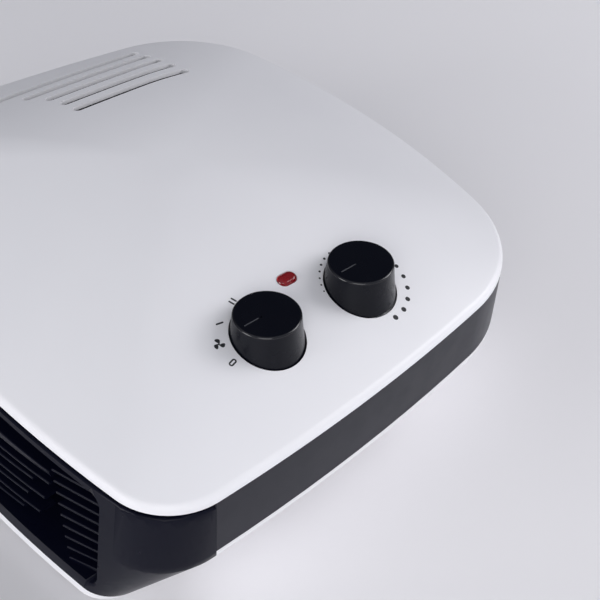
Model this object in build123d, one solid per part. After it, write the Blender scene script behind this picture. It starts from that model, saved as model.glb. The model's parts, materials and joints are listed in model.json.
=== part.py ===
from build123d import *
from math import atan, cos, degrees, radians, sin
import os

os.makedirs("parts", exist_ok=True)

BOTTOM = (Align.CENTER, Align.CENTER, Align.MIN)

# Case, measured from the floor under its middle
body_width = 329.2
belt_depth = 287.0
chin = 9.0
wall = 2.6
base_z = 6.0
lip_z = 45.6
belt_bottom_z = 48.7
belt_top_z = 82.2
rim_z = 86.2
apex_z = 120.3
rim_round = 4.6
plan_y = chin / 2
side_x = body_width / 2
front_y = plan_y - belt_depth / 2
back_y = plan_y + belt_depth / 2

# Plan outline: the bow of each side and the roundness of the corners
front_bow = 17.0
back_bow = 21.0
front_toe = 0.9
middle_toe = 4.1
back_toe = 22.6
front_corner_r = 34.0
back_corner_r = 73.0
corner_ease = 0.5

# Slopes of the walls below the cover
belt_draft = 0.3
lip_draft = 0.2
tray_taper = 32.0

# Joints between the case pieces
split_y = front_y + 43.0
kerb_z = 10.0
tongue_height = 3.0
tongue_wall = 1.5
slip = 0.15

# Front grille
grille_wall = 4.2
groove_depth = 2.4
groove_height = 2.4
bevel_height = 1.2
bevel_depth = 1.0
window_half = side_x - 37.6
window_bottom_z = 17.0
window_top_z = 75.9
window_round = 7.0
tunnel_wall = 2.0
blade_pitch = 6.0
blade_thick = 1.6
blade_depth = 9.0
blade_setback = 0.8
blade_end_setback = 4.6
blade_count = 6
centre_half = window_half - 36.6
blade_stagger = 10.4
blade_shrink = 1.7
hood_thick = 4.4
hood_z = 62.4
hood_depth = 13.0
hood_end_setback = 2.9
side_start = window_half - 34.0
side_step = 1.6
side_rib_count = 9
side_top_z = 65.2
side_rib_depth = 6.0
side_rib_setback = 2.6
side_end_setback = 8.6
post_width = 3.0
post_depth = 4.0
post_setback = 9.0
centre_posts = 5
post_end_gap = 22.0

# Air intake in the left part of the cover
intake_x = 43.5 - side_x
intake_pitch = 13.7
intake_slots = 5
intake_width = 5.0
intake_front_y = front_y + 78.0
intake_rake = 24.0
intake_back_y = back_y - 74.0
screen_thick = 1.4
screen_gap = 0.3
screen_margin = 5.0
screen_bar = 2.0
screen_pitch = 5.0

# Controls on the right
knob_x = side_x - 49.1
knob_row_y = 0.5
knob_spacing = 57.7
knob_top_z = 116.0
knob_bottom_z = 96.0
knob_top_r = 16.0
knob_base_r = 18.4
knob_edge_r = 1.3
knob_wall = 2.0
knob_hub_r = 5.2
knob_hub_lift = 2.6
pointer_width = 0.8
pointer_depth = 0.5
function_pointer = (4.0, 13.2)
thermostat_pointer = (3.0, 12.4)
knob_gap = 0.6
well_wall = 1.8
well_floor_z = 92.5
well_floor = 2.0
shaft_r = 3.0
shaft_flat = 1.0
shaft_top_gap = 1.5
running = 0.05
bush_r = 5.0
bush_height = 3.2
switch_size = 32.0
switch_height = 21.0
shaft_depth = 7.0
control_screw_spacing = 27.0
tab_width = 6.3
tab_thick = 0.8
tab_length = 8.0
switch_edge = 3.0
switch_plate = 3.0
control_screw_bite = 5.0
thermostat_r = 17.0
thermostat_height = 12.0
leaf_reach = 11.0
leaf_width = 7.0
leaf_thick = 0.6
leaf_gap = 3.0
leaf_drop = 3.0
leaf_post_r = 2.4

# Signal lamp between the knobs
lamp_x = knob_x - 19.1
lamp_y = -0.1
lens_length = 10.6
lens_width = 7.0
lens_rise = 1.6
lens_flange = 1.3
lens_seat = 0.6
neon_r = 2.6
neon_length = 13.0
holder_wall = 1.5

# Case screws, posts and feet
rear_post = (side_x - 78.6, back_y - 60.0)
front_post = (side_x - 56.6, front_y + 55.0)
post_r = 5.0
post_top_z = 54.0
post_shelf_z = 42.0
screw_r = 1.5
screw_head_r = 3.2
screw_head = 2.2
screw_bite = 12.0
foot_r = 9.0
foot_sink = 1.4
rear_foot = (side_x - 64.6, back_y - 88.0)
front_foot = (side_x - 60.6, front_y + 27.0)

# Heating block behind the grille
heater_width = 170.0
heater_depth = 15.0
heater_back_y = front_y + 42.0
heater_low_z = 20.0
fin_height = 9.6
fin_pitch = 6.5
fin_crest = 0.8
fin_rise = 1.0
tube_height = 3.6
tube_rows = 3
stone_height = 2.2
stones_per_tube = 7
stone_end = 6.0
stone_gap = 1.0
frame_side = 7.0
frame_wall = 3.0
frame_lip = 1.5
terminal_reach = 9.0
cutout_r = 8.0
cutout_height = 6.0
cutout_x = 40.0
fuse_r = 2.2
fuse_length = 16.0
fuse_x = -30.0

# Blower
blower_x = -5.0
blower_y = back_y - 102.0
scroll_low_z = 46.0
scroll_high_z = 90.0
scroll_wall = 1.8
scroll_start_r = 56.0
scroll_growth = 7.0
scroll_mouth_y = blower_y - 76.0
mouth_width = 60.0
inlet_r = 38.0
inlet_lip = 4.0
wheel_r = 50.0
wheel_inner_r = 41.0
wheel_low_z = 51.0
wheel_high_z = 85.0
blade_total = 30
vane_thick = 1.1
vane_sweep = 9.0
vane_lead = 2.0
wheel_plate = 1.8
hub_r = 8.0
hub_height = 15.0

# Motor under the blower
motor_low_z = 16.0
core_size = 58.0
core_low_z = 24.0
core_height = 16.0
core_bore_r = 13.5
core_shift = 7.0
core_bridge = 6.0
coil_size = 26.0
rotor_r = 13.0
motor_shaft_r = 2.0
bridge_thick = 1.6
bridge_width = 13.0
bearing_r = 5.5
bearing_height = 5.0
mount_spacing = 44.0
mount_screw_r = 1.6
spacer_r = 3.4
rotor_gap = 1.0
leg_width = 12.0
coil_build = 4.0
spacer_height = 4.0
grommet_height = 2.0
nut_height = 2.4
nut_r = 3.4

# Back wall
vent_count = 13
vent_pitch = 8.0
vent_width = 3.4
vent_x = -24.0
vent_low_z = 15.0
vent_high_z = 40.0
gland_x = side_x - 92.6
gland_z = 27.0
gland_collar_r = 10.5
gland_collar_y = back_y - 11.0
gland_r = 6.0
gland_flange_r = 8.6
cord_hole_r = 3.8
gland_flange = 2.4
gland_collar_length = 20.0
way_r = 2.4
terminal_x = side_x - 80.6
terminal_y = back_y - 114.0
terminal_size = 34.0
terminal_depth = 16.0
terminal_height = 12.0
terminal_ways = 3


def plan(inset=0.0, forward=0.0):
    """Plan outline of the case about its own middle: four bowed sides, four round corners."""
    half = body_width / 2 - inset
    slimness = (half / (body_width / 2)) ** 2
    front = -belt_depth / 2 + inset - forward
    back = belt_depth / 2 - inset
    front_right = (half - front_toe, front + front_bow * slimness)
    back_right = (half - back_toe, back - back_bow * slimness)
    front_left = (-front_right[0], front_right[1])
    back_left = (-back_right[0], back_right[1])
    middle_y = (front_right[1] + back_right[1]) / 2
    outline = Wire([
        ThreePointArc(front_left, (0, front), front_right),
        ThreePointArc(front_right, (half - middle_toe, middle_y), back_right),
        ThreePointArc(back_right, (0, back), back_left),
        ThreePointArc(back_left, (middle_toe - half, middle_y), front_left),
    ])
    sharp = Face(outline)
    front_corners = sharp.vertices().sort_by(Axis.Y)[:2]
    rounded = sharp.fillet_2d(front_corner_r - corner_ease * inset, front_corners)
    back_corners = rounded.vertices().sort_by(Axis.Y)[-2:]
    return rounded.fillet_2d(back_corner_r - corner_ease * inset, back_corners)


def lean(z):
    """How far the front wall stands forward of the cover's front edge at height z."""
    return chin * (belt_top_z - z) / (belt_top_z - base_z)


def side_inset(z):
    """How far the side and back walls stand inside the cover's edge at height z."""
    if z >= belt_bottom_z:
        return belt_draft * (belt_top_z - z) / (belt_top_z - belt_bottom_z)
    if z >= lip_z:
        return belt_draft + lip_draft * (belt_bottom_z - z) / (belt_bottom_z - lip_z)
    return belt_draft + lip_draft + tray_taper * (lip_z - z) / (lip_z - base_z)


def level(z, skin=0.0):
    """Outline of the lower case at height z, moved inwards by skin."""
    inset = side_inset(z)
    return Pos(0, plan_y, z) * plan(inset + skin, lean(z) + inset)


def lower_case(low, high, skin=0.0):
    """Solid of the lower case between two heights, moved inwards by skin."""
    bends = [z for z in (lip_z, belt_bottom_z) if low < z < high]
    heights = [low] + bends + [high]
    stages = [
        loft([level(a, skin), level(b, skin)], ruled=True)
        for a, b in zip(heights, heights[1:])
    ]
    return stages[0] + stages[1:] if bends else stages[0]


def sharp_dome(skin=0.0):
    """Solid under the domed cover with a sharp rim, moved inwards by skin."""
    outline = plan(skin)
    drop = apex_z - rim_z
    shares = (1.0, 0.94, 0.85, 0.7, 0.5, 0.25, 0.06)
    sections = [
        Pos(0, plan_y, apex_z - skin - drop * k * k) * scale(outline, by=(k, k, 1))
        for k in shares
    ]
    cap = loft(sections)
    low = belt_top_z - skin
    rim = extrude(Pos(0, plan_y, low) * outline, rim_z - skin - low)
    return rim + cap


def dome(skin=0.0):
    """Solid under the domed cover with its rim rounded, moved inwards by skin."""
    body = sharp_dome(skin)
    edges = [
        e for e in body.edges()
        if abs(e.center().Z - (rim_z - skin)) < 0.01 and e.length > 5
    ]
    return fillet(edges, rim_round - skin)


def face_y(x, z):
    """Y of the case's front wall at a place across it and a height."""
    return front_y - lean(z) + front_bow * (x / side_x) ** 2


def block(x, y, z, size_x, size_y, size_z):
    """Box that stands on height z, centred on x and y."""
    return Pos(x, y, z) * Box(size_x, size_y, size_z, align=BOTTOM)


def post(x, y, low, high, radius):
    """Upright round post between two heights."""
    return Pos(x, y, low) * Cylinder(radius, high - low, align=BOTTOM)


def mirrored(point):
    """A place and its mirror image across the middle of the case."""
    return [point, (-point[0], point[1])]


def ahead_of(y, low):
    """Space in front of a plane across the case, above a height."""
    return Pos(0, y, low) * Box(2 * body_width, belt_depth, 2 * apex_z,
                                align=(Align.CENTER, Align.MAX, Align.MIN))


def knob_places():
    """Knob axes: the function knob in front, the thermostat knob behind it."""
    return [(knob_x, knob_row_y - knob_spacing / 2), (knob_x, knob_row_y + knob_spacing / 2)]


case_posts = mirrored(rear_post) + mirrored(front_post)
case_feet = mirrored(rear_foot) + mirrored(front_foot)
function_place, thermostat_place = knob_places()
knob_hole_r = knob_base_r + knob_gap
well_bottom_z = well_floor_z - well_floor
shaft_top_z = knob_top_z - knob_wall - shaft_top_gap
heater_height = (tube_rows + 1) * fin_height + tube_rows * tube_height
frame_front_y = heater_back_y - heater_depth - frame_lip - slip
frame_back_y = heater_back_y + frame_lip + slip
frame_low_z = heater_low_z - frame_wall
frame_high_z = heater_low_z + heater_height + frame_wall
tunnel_back_y = frame_front_y - 3 * slip
blower_pillars = [
    (blower_x + 43, blower_y - 34),
    (blower_x - 65, blower_y - 58),
    (blower_x - 57, blower_y + 22),
    (blower_x + 39, blower_y + 36),
]
scroll_left_x = blower_x - scroll_growth - (scroll_start_r + 2 * scroll_growth)
outer_dome = dome()
inner_dome = dome(wall)


def cover_height(x, y):
    """Height of the cover's outer surface over a place in plan."""
    plumb = Line((x, y, rim_z), (x, y, 2 * apex_z)) & outer_dome
    return plumb.vertices().sort_by(Axis.Z)[-1].Z


lens_drop = cover_height(lamp_x - lens_width, lamp_y) - cover_height(lamp_x + lens_width, lamp_y)
lamp_tilt = degrees(atan(lens_drop / (2 * lens_width)))
lamp_seat = Location((lamp_x, lamp_y, cover_height(lamp_x, lamp_y)), (0, lamp_tilt, 0))


def intake_front(index):
    """Front end of an intake slot: each slot starts further back than its left neighbour."""
    return intake_front_y + intake_rake * index


def intake_place(index):
    """Middle of an intake slot across the case."""
    return intake_x + intake_pitch * index


def knob_well(x, y):
    """Round pocket moulded under the cover for one knob, with a floor for its control."""
    return post(x, y, well_bottom_z, apex_z, knob_hole_r + well_wall) & outer_dome


def skirt_ring(inset):
    """Upright rim under the cover that sits inside the wall below it."""
    low = belt_top_z - tongue_height
    ring = extrude(Pos(0, plan_y, low) * plan(inset), 2 * tongue_height)
    ring -= extrude(Pos(0, plan_y, low) * plan(inset + tongue_wall), 2 * tongue_height)
    return ring


def top_shell():
    """Domed cover with knob wells, lamp hole, intake slots and screw bosses."""
    shell = outer_dome - inner_dome
    shell += skirt_ring(wall + 2 * slip) - ahead_of(split_y + 1, 0)
    shell += skirt_ring(grille_wall + 2 * slip) & ahead_of(split_y - 1, 0)
    for x, y in case_posts:
        shell += post(x, y, post_top_z, rim_z, post_r)
        shell += post(x, y, belt_top_z, apex_z, post_r) & outer_dome
        shell -= post(x, y, post_top_z, post_top_z + screw_bite + 1, screw_r)
    for x, y in knob_places():
        shell += knob_well(x, y)
        shell -= post(x, y, well_floor_z, apex_z, knob_hole_r)
        shell -= post(x, y, well_bottom_z, well_floor_z, bush_r + slip)
        for side in (-1, 1):
            hole_x = x + side * control_screw_spacing / 2
            shell -= post(hole_x, y, well_bottom_z, well_floor_z, screw_r + slip)
    opening = SlotOverall(lens_length + 2 * slip, lens_width + 2 * slip, rotation=90)
    shell -= lamp_seat * Pos(0, 0, -2 * wall) * extrude(opening, 4 * wall)
    for index in range(intake_slots):
        front = intake_front(index)
        length = intake_back_y - front
        slot = SlotOverall(length, intake_width, rotation=90)
        shell -= Pos(intake_place(index), front + length / 2, rim_z) * extrude(slot, apex_z - rim_z)
    return shell


def intake_screen():
    """Dark screen under the intake slots, with narrow openings across them."""
    under = sharp_dome(wall + screen_gap)
    low_x = intake_place(0) - intake_pitch / 2 - screen_margin
    high_x = intake_place(intake_slots - 1) + intake_pitch / 2 + screen_margin
    low_y = intake_front(0) - screen_margin
    high_y = intake_back_y + screen_margin
    middle = ((low_x + high_x) / 2, (low_y + high_y) / 2)
    sheet = under & block(*middle, rim_z, high_x - low_x, high_y - low_y, apex_z - rim_z)
    sheet -= Pos(0, 0, -screen_thick) * under
    rows = int((high_y - low_y - 2 * screen_margin) / screen_pitch)
    hole = (high_x - low_x - 2 * screen_margin, screen_pitch - screen_bar, apex_z - rim_z)
    return sheet - [
        block(middle[0], low_y + screen_margin + (row + 0.5) * screen_pitch, rim_z, *hole)
        for row in range(rows)
    ]


def side_belt():
    """Dark band round the right side, the back and the left side."""
    ring = lower_case(belt_bottom_z, belt_top_z)
    ring -= lower_case(belt_bottom_z - 1, belt_top_z + 1, wall)
    return ring - ahead_of(split_y, 0)


def cord_collar():
    """Round collar that carries the cord gland in the sloping back wall."""
    inside_y = gland_collar_y - gland_collar_length
    return Pos(gland_x, inside_y, gland_z) * Rot(-90, 0, 0) * Cylinder(
        gland_collar_r, gland_collar_y - inside_y, align=BOTTOM)


def along_y(x, y, z, radius, length):
    """Round bar along Y that starts at y."""
    return Pos(x, y, z) * Rot(-90, 0, 0) * Cylinder(radius, length, align=BOTTOM)


def tray():
    """Lower tray: base, tapering side and back walls, kerb under the grille, posts and vents."""
    shell = lower_case(base_z, belt_bottom_z)
    shell -= lower_case(base_z + wall, belt_bottom_z + 1, wall)
    shell -= ahead_of(split_y, kerb_z)
    tongue_low = lip_z - tongue_height
    tongue = extrude(level(belt_bottom_z, wall + slip), tongue_height)
    tongue += extrude(Pos(0, 0, tongue_low - belt_bottom_z) * level(belt_bottom_z, wall + slip),
                      belt_bottom_z - tongue_low)
    tongue -= extrude(Pos(0, 0, tongue_low - belt_bottom_z) * level(belt_bottom_z, wall + slip + tongue_wall),
                      belt_bottom_z - tongue_low + 2 * tongue_height)
    shell += tongue - ahead_of(split_y + 1, 0)
    for x, y in case_posts:
        shell += post(x, y, base_z, post_top_z, post_r)
        shell -= post(x, y, base_z, post_shelf_z, screw_head_r + 2 * slip)
        shell -= post(x, y, post_shelf_z, post_top_z, screw_r + slip)
    for x, y in case_feet:
        shell += post(x, y, base_z, base_z + wall + foot_sink, foot_r + wall)
        shell -= post(x, y, base_z, base_z + foot_sink, foot_r)
    for x, y in blower_pillars:
        shell += post(x, y, base_z, scroll_low_z, post_r)
    for side in (-1, 1):
        x = side * heater_width / 3
        shell += block(x, (frame_front_y + frame_back_y) / 2, base_z,
                       2 * post_r, frame_back_y - frame_front_y, frame_low_z - base_z)
    for index in range(vent_count):
        x = vent_x + vent_pitch * (index - (vent_count - 1) / 2)
        shell -= Pos(x, back_y, vent_low_z) * Box(
            vent_width, 2 * tray_taper, vent_high_z - vent_low_z,
            align=(Align.CENTER, Align.CENTER, Align.MIN))
    shell += cord_collar()
    shell -= along_y(gland_x, blower_y, gland_z, gland_r, belt_depth)
    return shell


def cap_window(grow, front_y, back_y):
    """Round-cornered opening of the grille, as a solid between two depths."""
    size = (2 * (window_half + grow), window_top_z - window_bottom_z + 2 * grow)
    middle_z = (window_bottom_z + window_top_z) / 2
    plane = Plane(origin=(0, back_y, middle_z), x_dir=(1, 0, 0), z_dir=(0, -1, 0))
    return extrude(plane * RectangleRounded(*size, window_round + grow), back_y - front_y)


def blade_outline(places, z, setbacks, depth):
    """Level outline of a blade: its front edge lies behind the wall by three setbacks."""
    front = [(x, face_y(x, z) + setback) for x, setback in zip(places, setbacks)]
    back = [(x, y + depth) for x, y in front]
    return Pos(0, 0, z) * Face(Wire([
        ThreePointArc(*front),
        Line(front[2], back[2]),
        ThreePointArc(back[2], back[1], back[0]),
        Line(back[0], front[0]),
    ]))


def grille_blade(x_low, x_high, z, setbacks, depth):
    """Thin level blade between two places across the front."""
    places = (x_low, (x_low + x_high) / 2, x_high)
    return extrude(blade_outline(places, z, setbacks, depth), blade_thick)


def grille_hood():
    """Thick hood over the middle blades, undercut more towards its ends."""
    places = (-centre_half, 0, centre_half)
    low_edge = (blade_end_setback, blade_setback, blade_end_setback)
    high_edge = (hood_end_setback, blade_setback, hood_end_setback)
    low = blade_outline(places, hood_z - hood_thick, low_edge, hood_depth)
    high = blade_outline(places, hood_z, high_edge, hood_depth)
    return loft([low, high], ruled=True)


def grille_post(x):
    """Upright bar behind the blades that leans with the front wall."""
    low = window_bottom_z - tunnel_wall / 2
    high = window_top_z + tunnel_wall / 2
    low_y = face_y(x, low) + post_setback
    high_y = face_y(x, high) + post_setback
    outline = Wire([
        Line((low_y, low), (high_y, high)),
        Line((high_y, high), (high_y + post_depth, high)),
        Line((high_y + post_depth, high), (low_y + post_depth, low)),
        Line((low_y + post_depth, low), (low_y, low)),
    ])
    return Pos(x - post_width / 2, 0, 0) * extrude(Plane.YZ * Face(outline), post_width)


def front_grille():
    """Black front: rounded frame, hood, staggered blades in the middle and ribs at both ends."""
    top_z = belt_top_z - groove_height
    shell = lower_case(kerb_z, top_z - bevel_height)
    shell += loft([level(top_z - bevel_height), level(top_z, bevel_depth)], ruled=True)
    shell += lower_case(top_z, belt_top_z, groove_depth)
    shell -= lower_case(kerb_z - 1, belt_top_z + 1, grille_wall)
    tunnel = cap_window(tunnel_wall, -belt_depth, tunnel_back_y)
    shell += tunnel & lower_case(kerb_z, top_z, 1.0)
    shell &= ahead_of(split_y, 0)
    shell -= cap_window(0, -belt_depth, tunnel_back_y + 1)
    return shell + grille_blades() + grille_posts()


def grille_blades():
    """Hood, the long and short blades below it, and short ribs swept back at both ends."""
    blades = [grille_hood()]
    centre = (blade_end_setback, blade_setback, blade_end_setback)
    middle_setback = (side_rib_setback + side_end_setback) / 2
    sweep = (side_rib_setback, middle_setback, side_end_setback)
    for row in range(1, blade_count + 1):
        reach = centre_half - blade_shrink * row - blade_stagger * ((row + 1) % 2)
        z = hood_z - hood_thick - blade_thick / 2 - row * blade_pitch
        blades.append(grille_blade(-reach, reach, z, centre, blade_depth))
    for row in range(side_rib_count):
        z = side_top_z - row * blade_pitch
        near = side_start + row * side_step
        far = window_half + tunnel_wall / 4
        blades.append(grille_blade(near, far, z, sweep, side_rib_depth))
        blades.append(grille_blade(-far, -near, z, sweep[::-1], side_rib_depth))
    return blades


def grille_posts():
    """Upright bars that tie the blades and ribs to the frame."""
    spread = centre_half - post_end_gap
    posts = [grille_post(spread * (2 * index / (centre_posts - 1) - 1))
             for index in range(centre_posts)]
    for x in (side_start + side_step * side_rib_count, window_half - post_width):
        posts += [grille_post(x), grille_post(-x)]
    return posts


def knob(x, y, pointer_from, pointer_to):
    """Hollow flared knob with a keyed hub and a groove on top that points to the front."""
    height = knob_top_z - knob_bottom_z
    outline = Wire([
        Line((0, 0), (knob_base_r, 0)),
        Line((knob_base_r, 0), (knob_top_r, height)),
        Line((knob_top_r, height), (0, height)),
        Line((0, height), (0, 0)),
    ])
    body = revolve(Plane.XZ * Face(outline), Axis.Z)
    rim = body.edges().filter_by(GeomType.CIRCLE).sort_by(Axis.Z)[-1]
    body = fillet(rim, knob_edge_r)
    ceiling = height - knob_wall
    body -= Cone(knob_base_r - knob_wall, knob_top_r - knob_wall, ceiling, align=BOTTOM)
    body += post(0, 0, knob_hub_lift, ceiling, knob_hub_r)
    body -= keyed_rod(knob_hub_lift - 1, shaft_top_z - knob_bottom_z + 2 * slip, running)
    groove = Pos(0, -(pointer_from + pointer_to) / 2, height - pointer_depth) * extrude(
        SlotOverall(pointer_to - pointer_from, pointer_width, rotation=90), pointer_depth)
    return Pos(x, y, knob_bottom_z) * (body - groove)


def keyed_rod(low, high, grow):
    """Round rod with one flat side, as thick as the control shafts."""
    flat_y = shaft_r - shaft_flat + grow
    return post(0, 0, low, high, shaft_r + grow) - Pos(0, flat_y, low) * Box(
        4 * shaft_r, shaft_r, high - low, align=(Align.CENTER, Align.MIN, Align.MIN))


def control_shaft(x, y):
    """Shaft of a control: round in its bush, with a flat where the knob sits on it."""
    low = well_bottom_z - shaft_depth
    flat_low = well_floor_z + bush_height + slip
    shaft = post(0, 0, low + 2 * slip, flat_low, shaft_r)
    return Pos(x, y, 0) * (shaft + keyed_rod(flat_low, shaft_top_z, 0))


def bush_and_bore(body, x, y):
    """Adds the bush that passes the well's floor and bores it for the shaft."""
    top = well_floor_z + bush_height
    body += post(x, y, well_bottom_z - 1, top, bush_r)
    for side in (-1, 1):
        hole_x = x + side * control_screw_spacing / 2
        body -= post(hole_x, y, well_bottom_z - control_screw_bite, well_bottom_z, screw_r)
    return body - post(x, y, well_bottom_z - shaft_depth, top, shaft_r + running)


def function_switch():
    """Rotary switch: square moulded body, bush, and a raised terminal plate below."""
    x, y = function_place
    low = well_bottom_z - switch_height
    body = block(x, y, low, switch_size, switch_size, switch_height)
    body = fillet(body.edges().filter_by(Axis.Z), switch_edge)
    body += block(x, y, low - switch_plate, switch_size - 4, switch_size - 4, switch_plate)
    return bush_and_bore(body, x, y)


def tab_row(x, y, z, count, spacing):
    """Flat push-on tabs in a row along X that hang below a body."""
    tabs = []
    for index in range(count):
        tab_x = x + spacing * (index - (count - 1) / 2)
        tabs.append(block(tab_x, y, z - tab_length, tab_thick, tab_width, tab_length))
    return tabs


def switch_tabs():
    """Two rows of tabs under the function switch."""
    x, y = function_place
    z = well_bottom_z - switch_height - switch_plate
    offset = switch_size / 4
    return Compound(tab_row(x, y - offset, z, 3, offset) + tab_row(x, y + offset, z, 3, offset))


def thermostat_body():
    """Thermostat: round ceramic base with a bush, and a stack post that carries its leaves."""
    x, y = thermostat_place
    low = well_bottom_z - thermostat_height
    body = post(x, y, low, well_bottom_z, thermostat_r)
    body += post(x - leaf_reach, y, low - leaf_drop - 2 * leaf_gap, low, leaf_post_r)
    return bush_and_bore(body, x, y)


def thermostat_leaves():
    """Bimetal leaf and contact leaf clamped on the stack post under the thermostat."""
    x, y = thermostat_place
    low = well_bottom_z - thermostat_height - leaf_drop
    leaves = []
    for layer in (0, 1):
        z = low - layer * leaf_gap
        leaf = block(x, y, z, 2 * leaf_reach + leaf_width, leaf_width, leaf_thick)
        leaf = fillet(leaf.edges().filter_by(Axis.Z), leaf_width / 2 - 0.1)
        leaves.append(leaf - post(x - leaf_reach, y, z, z + leaf_thick, leaf_post_r))
    return Compound(leaves)


def thermostat_tabs():
    """Two tabs beside the leaves of the thermostat."""
    x, y = thermostat_place
    low = well_bottom_z - thermostat_height
    tab_y = y + thermostat_r / 2 + leaf_width / 3
    return Compound(tab_row(x, tab_y, low, 2, thermostat_r - tab_length / 2))


def control_screws():
    """Four short pan-head screws in the wells, hidden by the knobs."""
    screws = []
    for x, y in knob_places():
        for side in (-1, 1):
            screw_x = x + side * control_screw_spacing / 2
            shank = post(screw_x, y, well_bottom_z - control_screw_bite, well_floor_z, screw_r)
            screws.append(shank + pan_head(screw_x, y, well_floor_z, 1))
    return Compound(screws)


def pan_head(x, y, z, way):
    """Bevelled screw head that stands on height z, upwards or downwards."""
    head = Cylinder(screw_head_r, screw_head, align=BOTTOM)
    head = chamfer(head.edges().sort_by(Axis.Z)[-1], screw_head / 3)
    return Pos(x, y, z) * (head if way > 0 else Rot(180, 0, 0) * head)


def lamp_lens():
    """Red lens: domed rounded slot with a flange under the cover."""
    stem_low = -wall - lens_seat
    lens = Pos(0, 0, stem_low) * extrude(
        SlotOverall(lens_length, lens_width, rotation=90), lens_rise - stem_low)
    lens = fillet(lens.edges().group_by(Axis.Z)[-1], lens_rise * 0.8)
    flange = SlotOverall(lens_length + 2 * lens_flange, lens_width + 2 * lens_flange, rotation=90)
    lens += Pos(0, 0, stem_low - lens_flange) * extrude(flange, lens_flange)
    return lamp_seat * lens


def neon_lamp():
    """Glass neon lamp with a rounded tip, standing under the lens."""
    top = -wall - lens_seat - lens_flange - slip
    bulb = Pos(0, 0, top - neon_length) * Cylinder(neon_r, neon_length, align=BOTTOM)
    bulb = fillet(bulb.edges().sort_by(Axis.Z)[-1], neon_r * 0.9)
    return lamp_seat * bulb


def lamp_holder():
    """Holder that grips the neon lamp and clips onto the lens flange."""
    top = -wall - lens_seat - lens_flange
    sleeve = Pos(0, 0, top - neon_length + 1) * Cylinder(
        neon_r + holder_wall, neon_length - 1, align=BOTTOM)
    flange = SlotOverall(lens_length + 2 * lens_flange, lens_width + 2 * lens_flange, rotation=90)
    sleeve += Pos(0, 0, top - holder_wall) * extrude(flange, holder_wall)
    sleeve -= Pos(0, 0, top - neon_length) * Cylinder(neon_r, neon_length + 1, align=BOTTOM)
    return lamp_seat * sleeve


def heater_frame():
    """Moulded frame round the heating block, with lips in front and behind."""
    depth = frame_back_y - frame_front_y
    middle_y = (frame_back_y + frame_front_y) / 2
    inside_z = heater_low_z
    height = heater_height + slip
    frame = block(0, middle_y, frame_low_z, heater_width + 2 * frame_side, depth,
                  frame_high_z - frame_low_z)
    frame -= block(0, middle_y, inside_z, heater_width + 2 * slip, heater_depth + 2 * slip, height)
    frame -= block(0, middle_y, inside_z + frame_lip, heater_width - 2 * frame_lip,
                   2 * depth, height - 2 * frame_lip)
    for z in tube_levels():
        frame -= block(heater_width / 2 + frame_side, middle_y, z, 2 * frame_side + 1,
                       tab_width + 2 * slip, tube_height)
    return frame


def tube_levels():
    """Lower faces of the heating tubes: one between each two fin packs."""
    step = fin_height + tube_height
    return [heater_low_z + fin_height + step * row for row in range(tube_rows)]


def heating_tubes():
    """Flat aluminium tubes, each open at the ends for its ceramic stones."""
    middle_y = (frame_back_y + frame_front_y) / 2
    tubes = []
    for z in tube_levels():
        tube = block(0, middle_y, z, heater_width, heater_depth, tube_height)
        margin = (tube_height - stone_height) / 2
        tube -= block(0, middle_y, z + margin, heater_width, heater_depth - 2 * margin, stone_height)
        tubes.append(tube)
    return Compound(tubes)


def ceramic_stones():
    """Ceramic heating stones in a row inside each tube."""
    middle_y = (frame_back_y + frame_front_y) / 2
    margin = (tube_height - stone_height) / 2
    step = (heater_width - 2 * stone_end) / stones_per_tube
    stones = []
    for z in tube_levels():
        for index in range(stones_per_tube):
            x = stone_end - heater_width / 2 + step * (index + 0.5)
            stones.append(block(x, middle_y, z + margin, step - stone_gap,
                                heater_depth - 2 * margin - 2 * slip, stone_height))
    return Compound(stones)


def heater_fins():
    """Four corrugated fin packs, folded up and down between the tubes."""
    folds = 2 * int(heater_width / fin_pitch)
    step = heater_width / (folds + 1)
    middle_y = (frame_back_y + frame_front_y) / 2
    packs = []
    for row in range(tube_rows + 1):
        z = heater_low_z + row * (fin_height + tube_height)
        spine = []
        for index in range(folds + 1):
            height = z + fin_rise + (index % 2) * (fin_height - 2 * fin_rise)
            x = step * (index + 0.5) - heater_width / 2
            spine += [(x - fin_crest / 2, height), (x + fin_crest / 2, height)]
        upper = [(x, height + fin_rise) for x, height in spine]
        lower = [(x, height - fin_rise) for x, height in reversed(spine)]
        outline = Wire(Polyline(*upper, *lower, close=True).edges())
        plane = Plane(origin=(0, middle_y, 0), x_dir=(1, 0, 0), z_dir=(0, -1, 0))
        packs.append(extrude(plane * Face(outline), heater_depth / 2, both=True))
    return Compound(packs)


def heater_terminals():
    """Tabs that leave the right ends of the tubes through the frame."""
    middle_y = (frame_back_y + frame_front_y) / 2
    tabs = []
    for z in tube_levels():
        margin = (tube_height - stone_height) / 2
        tabs.append(block(heater_width / 2 - stone_end / 2 + terminal_reach, middle_y, z + margin,
                          2 * terminal_reach, tab_width, tab_thick))
    return Compound(tabs)


def thermal_cutout():
    """Round safety cut-out on top of the heater frame, with two tabs."""
    middle_y = (frame_back_y + frame_front_y) / 2
    body = block(cutout_x, middle_y, frame_high_z, 3 * cutout_r, cutout_r, tab_thick)
    body += post(cutout_x, middle_y, frame_high_z, frame_high_z + cutout_height, cutout_r)
    for side in (-1, 1):
        body += block(cutout_x + side * cutout_r / 2, middle_y, frame_high_z + cutout_height,
                      tab_thick, tab_width, tab_length)
    return body


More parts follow.
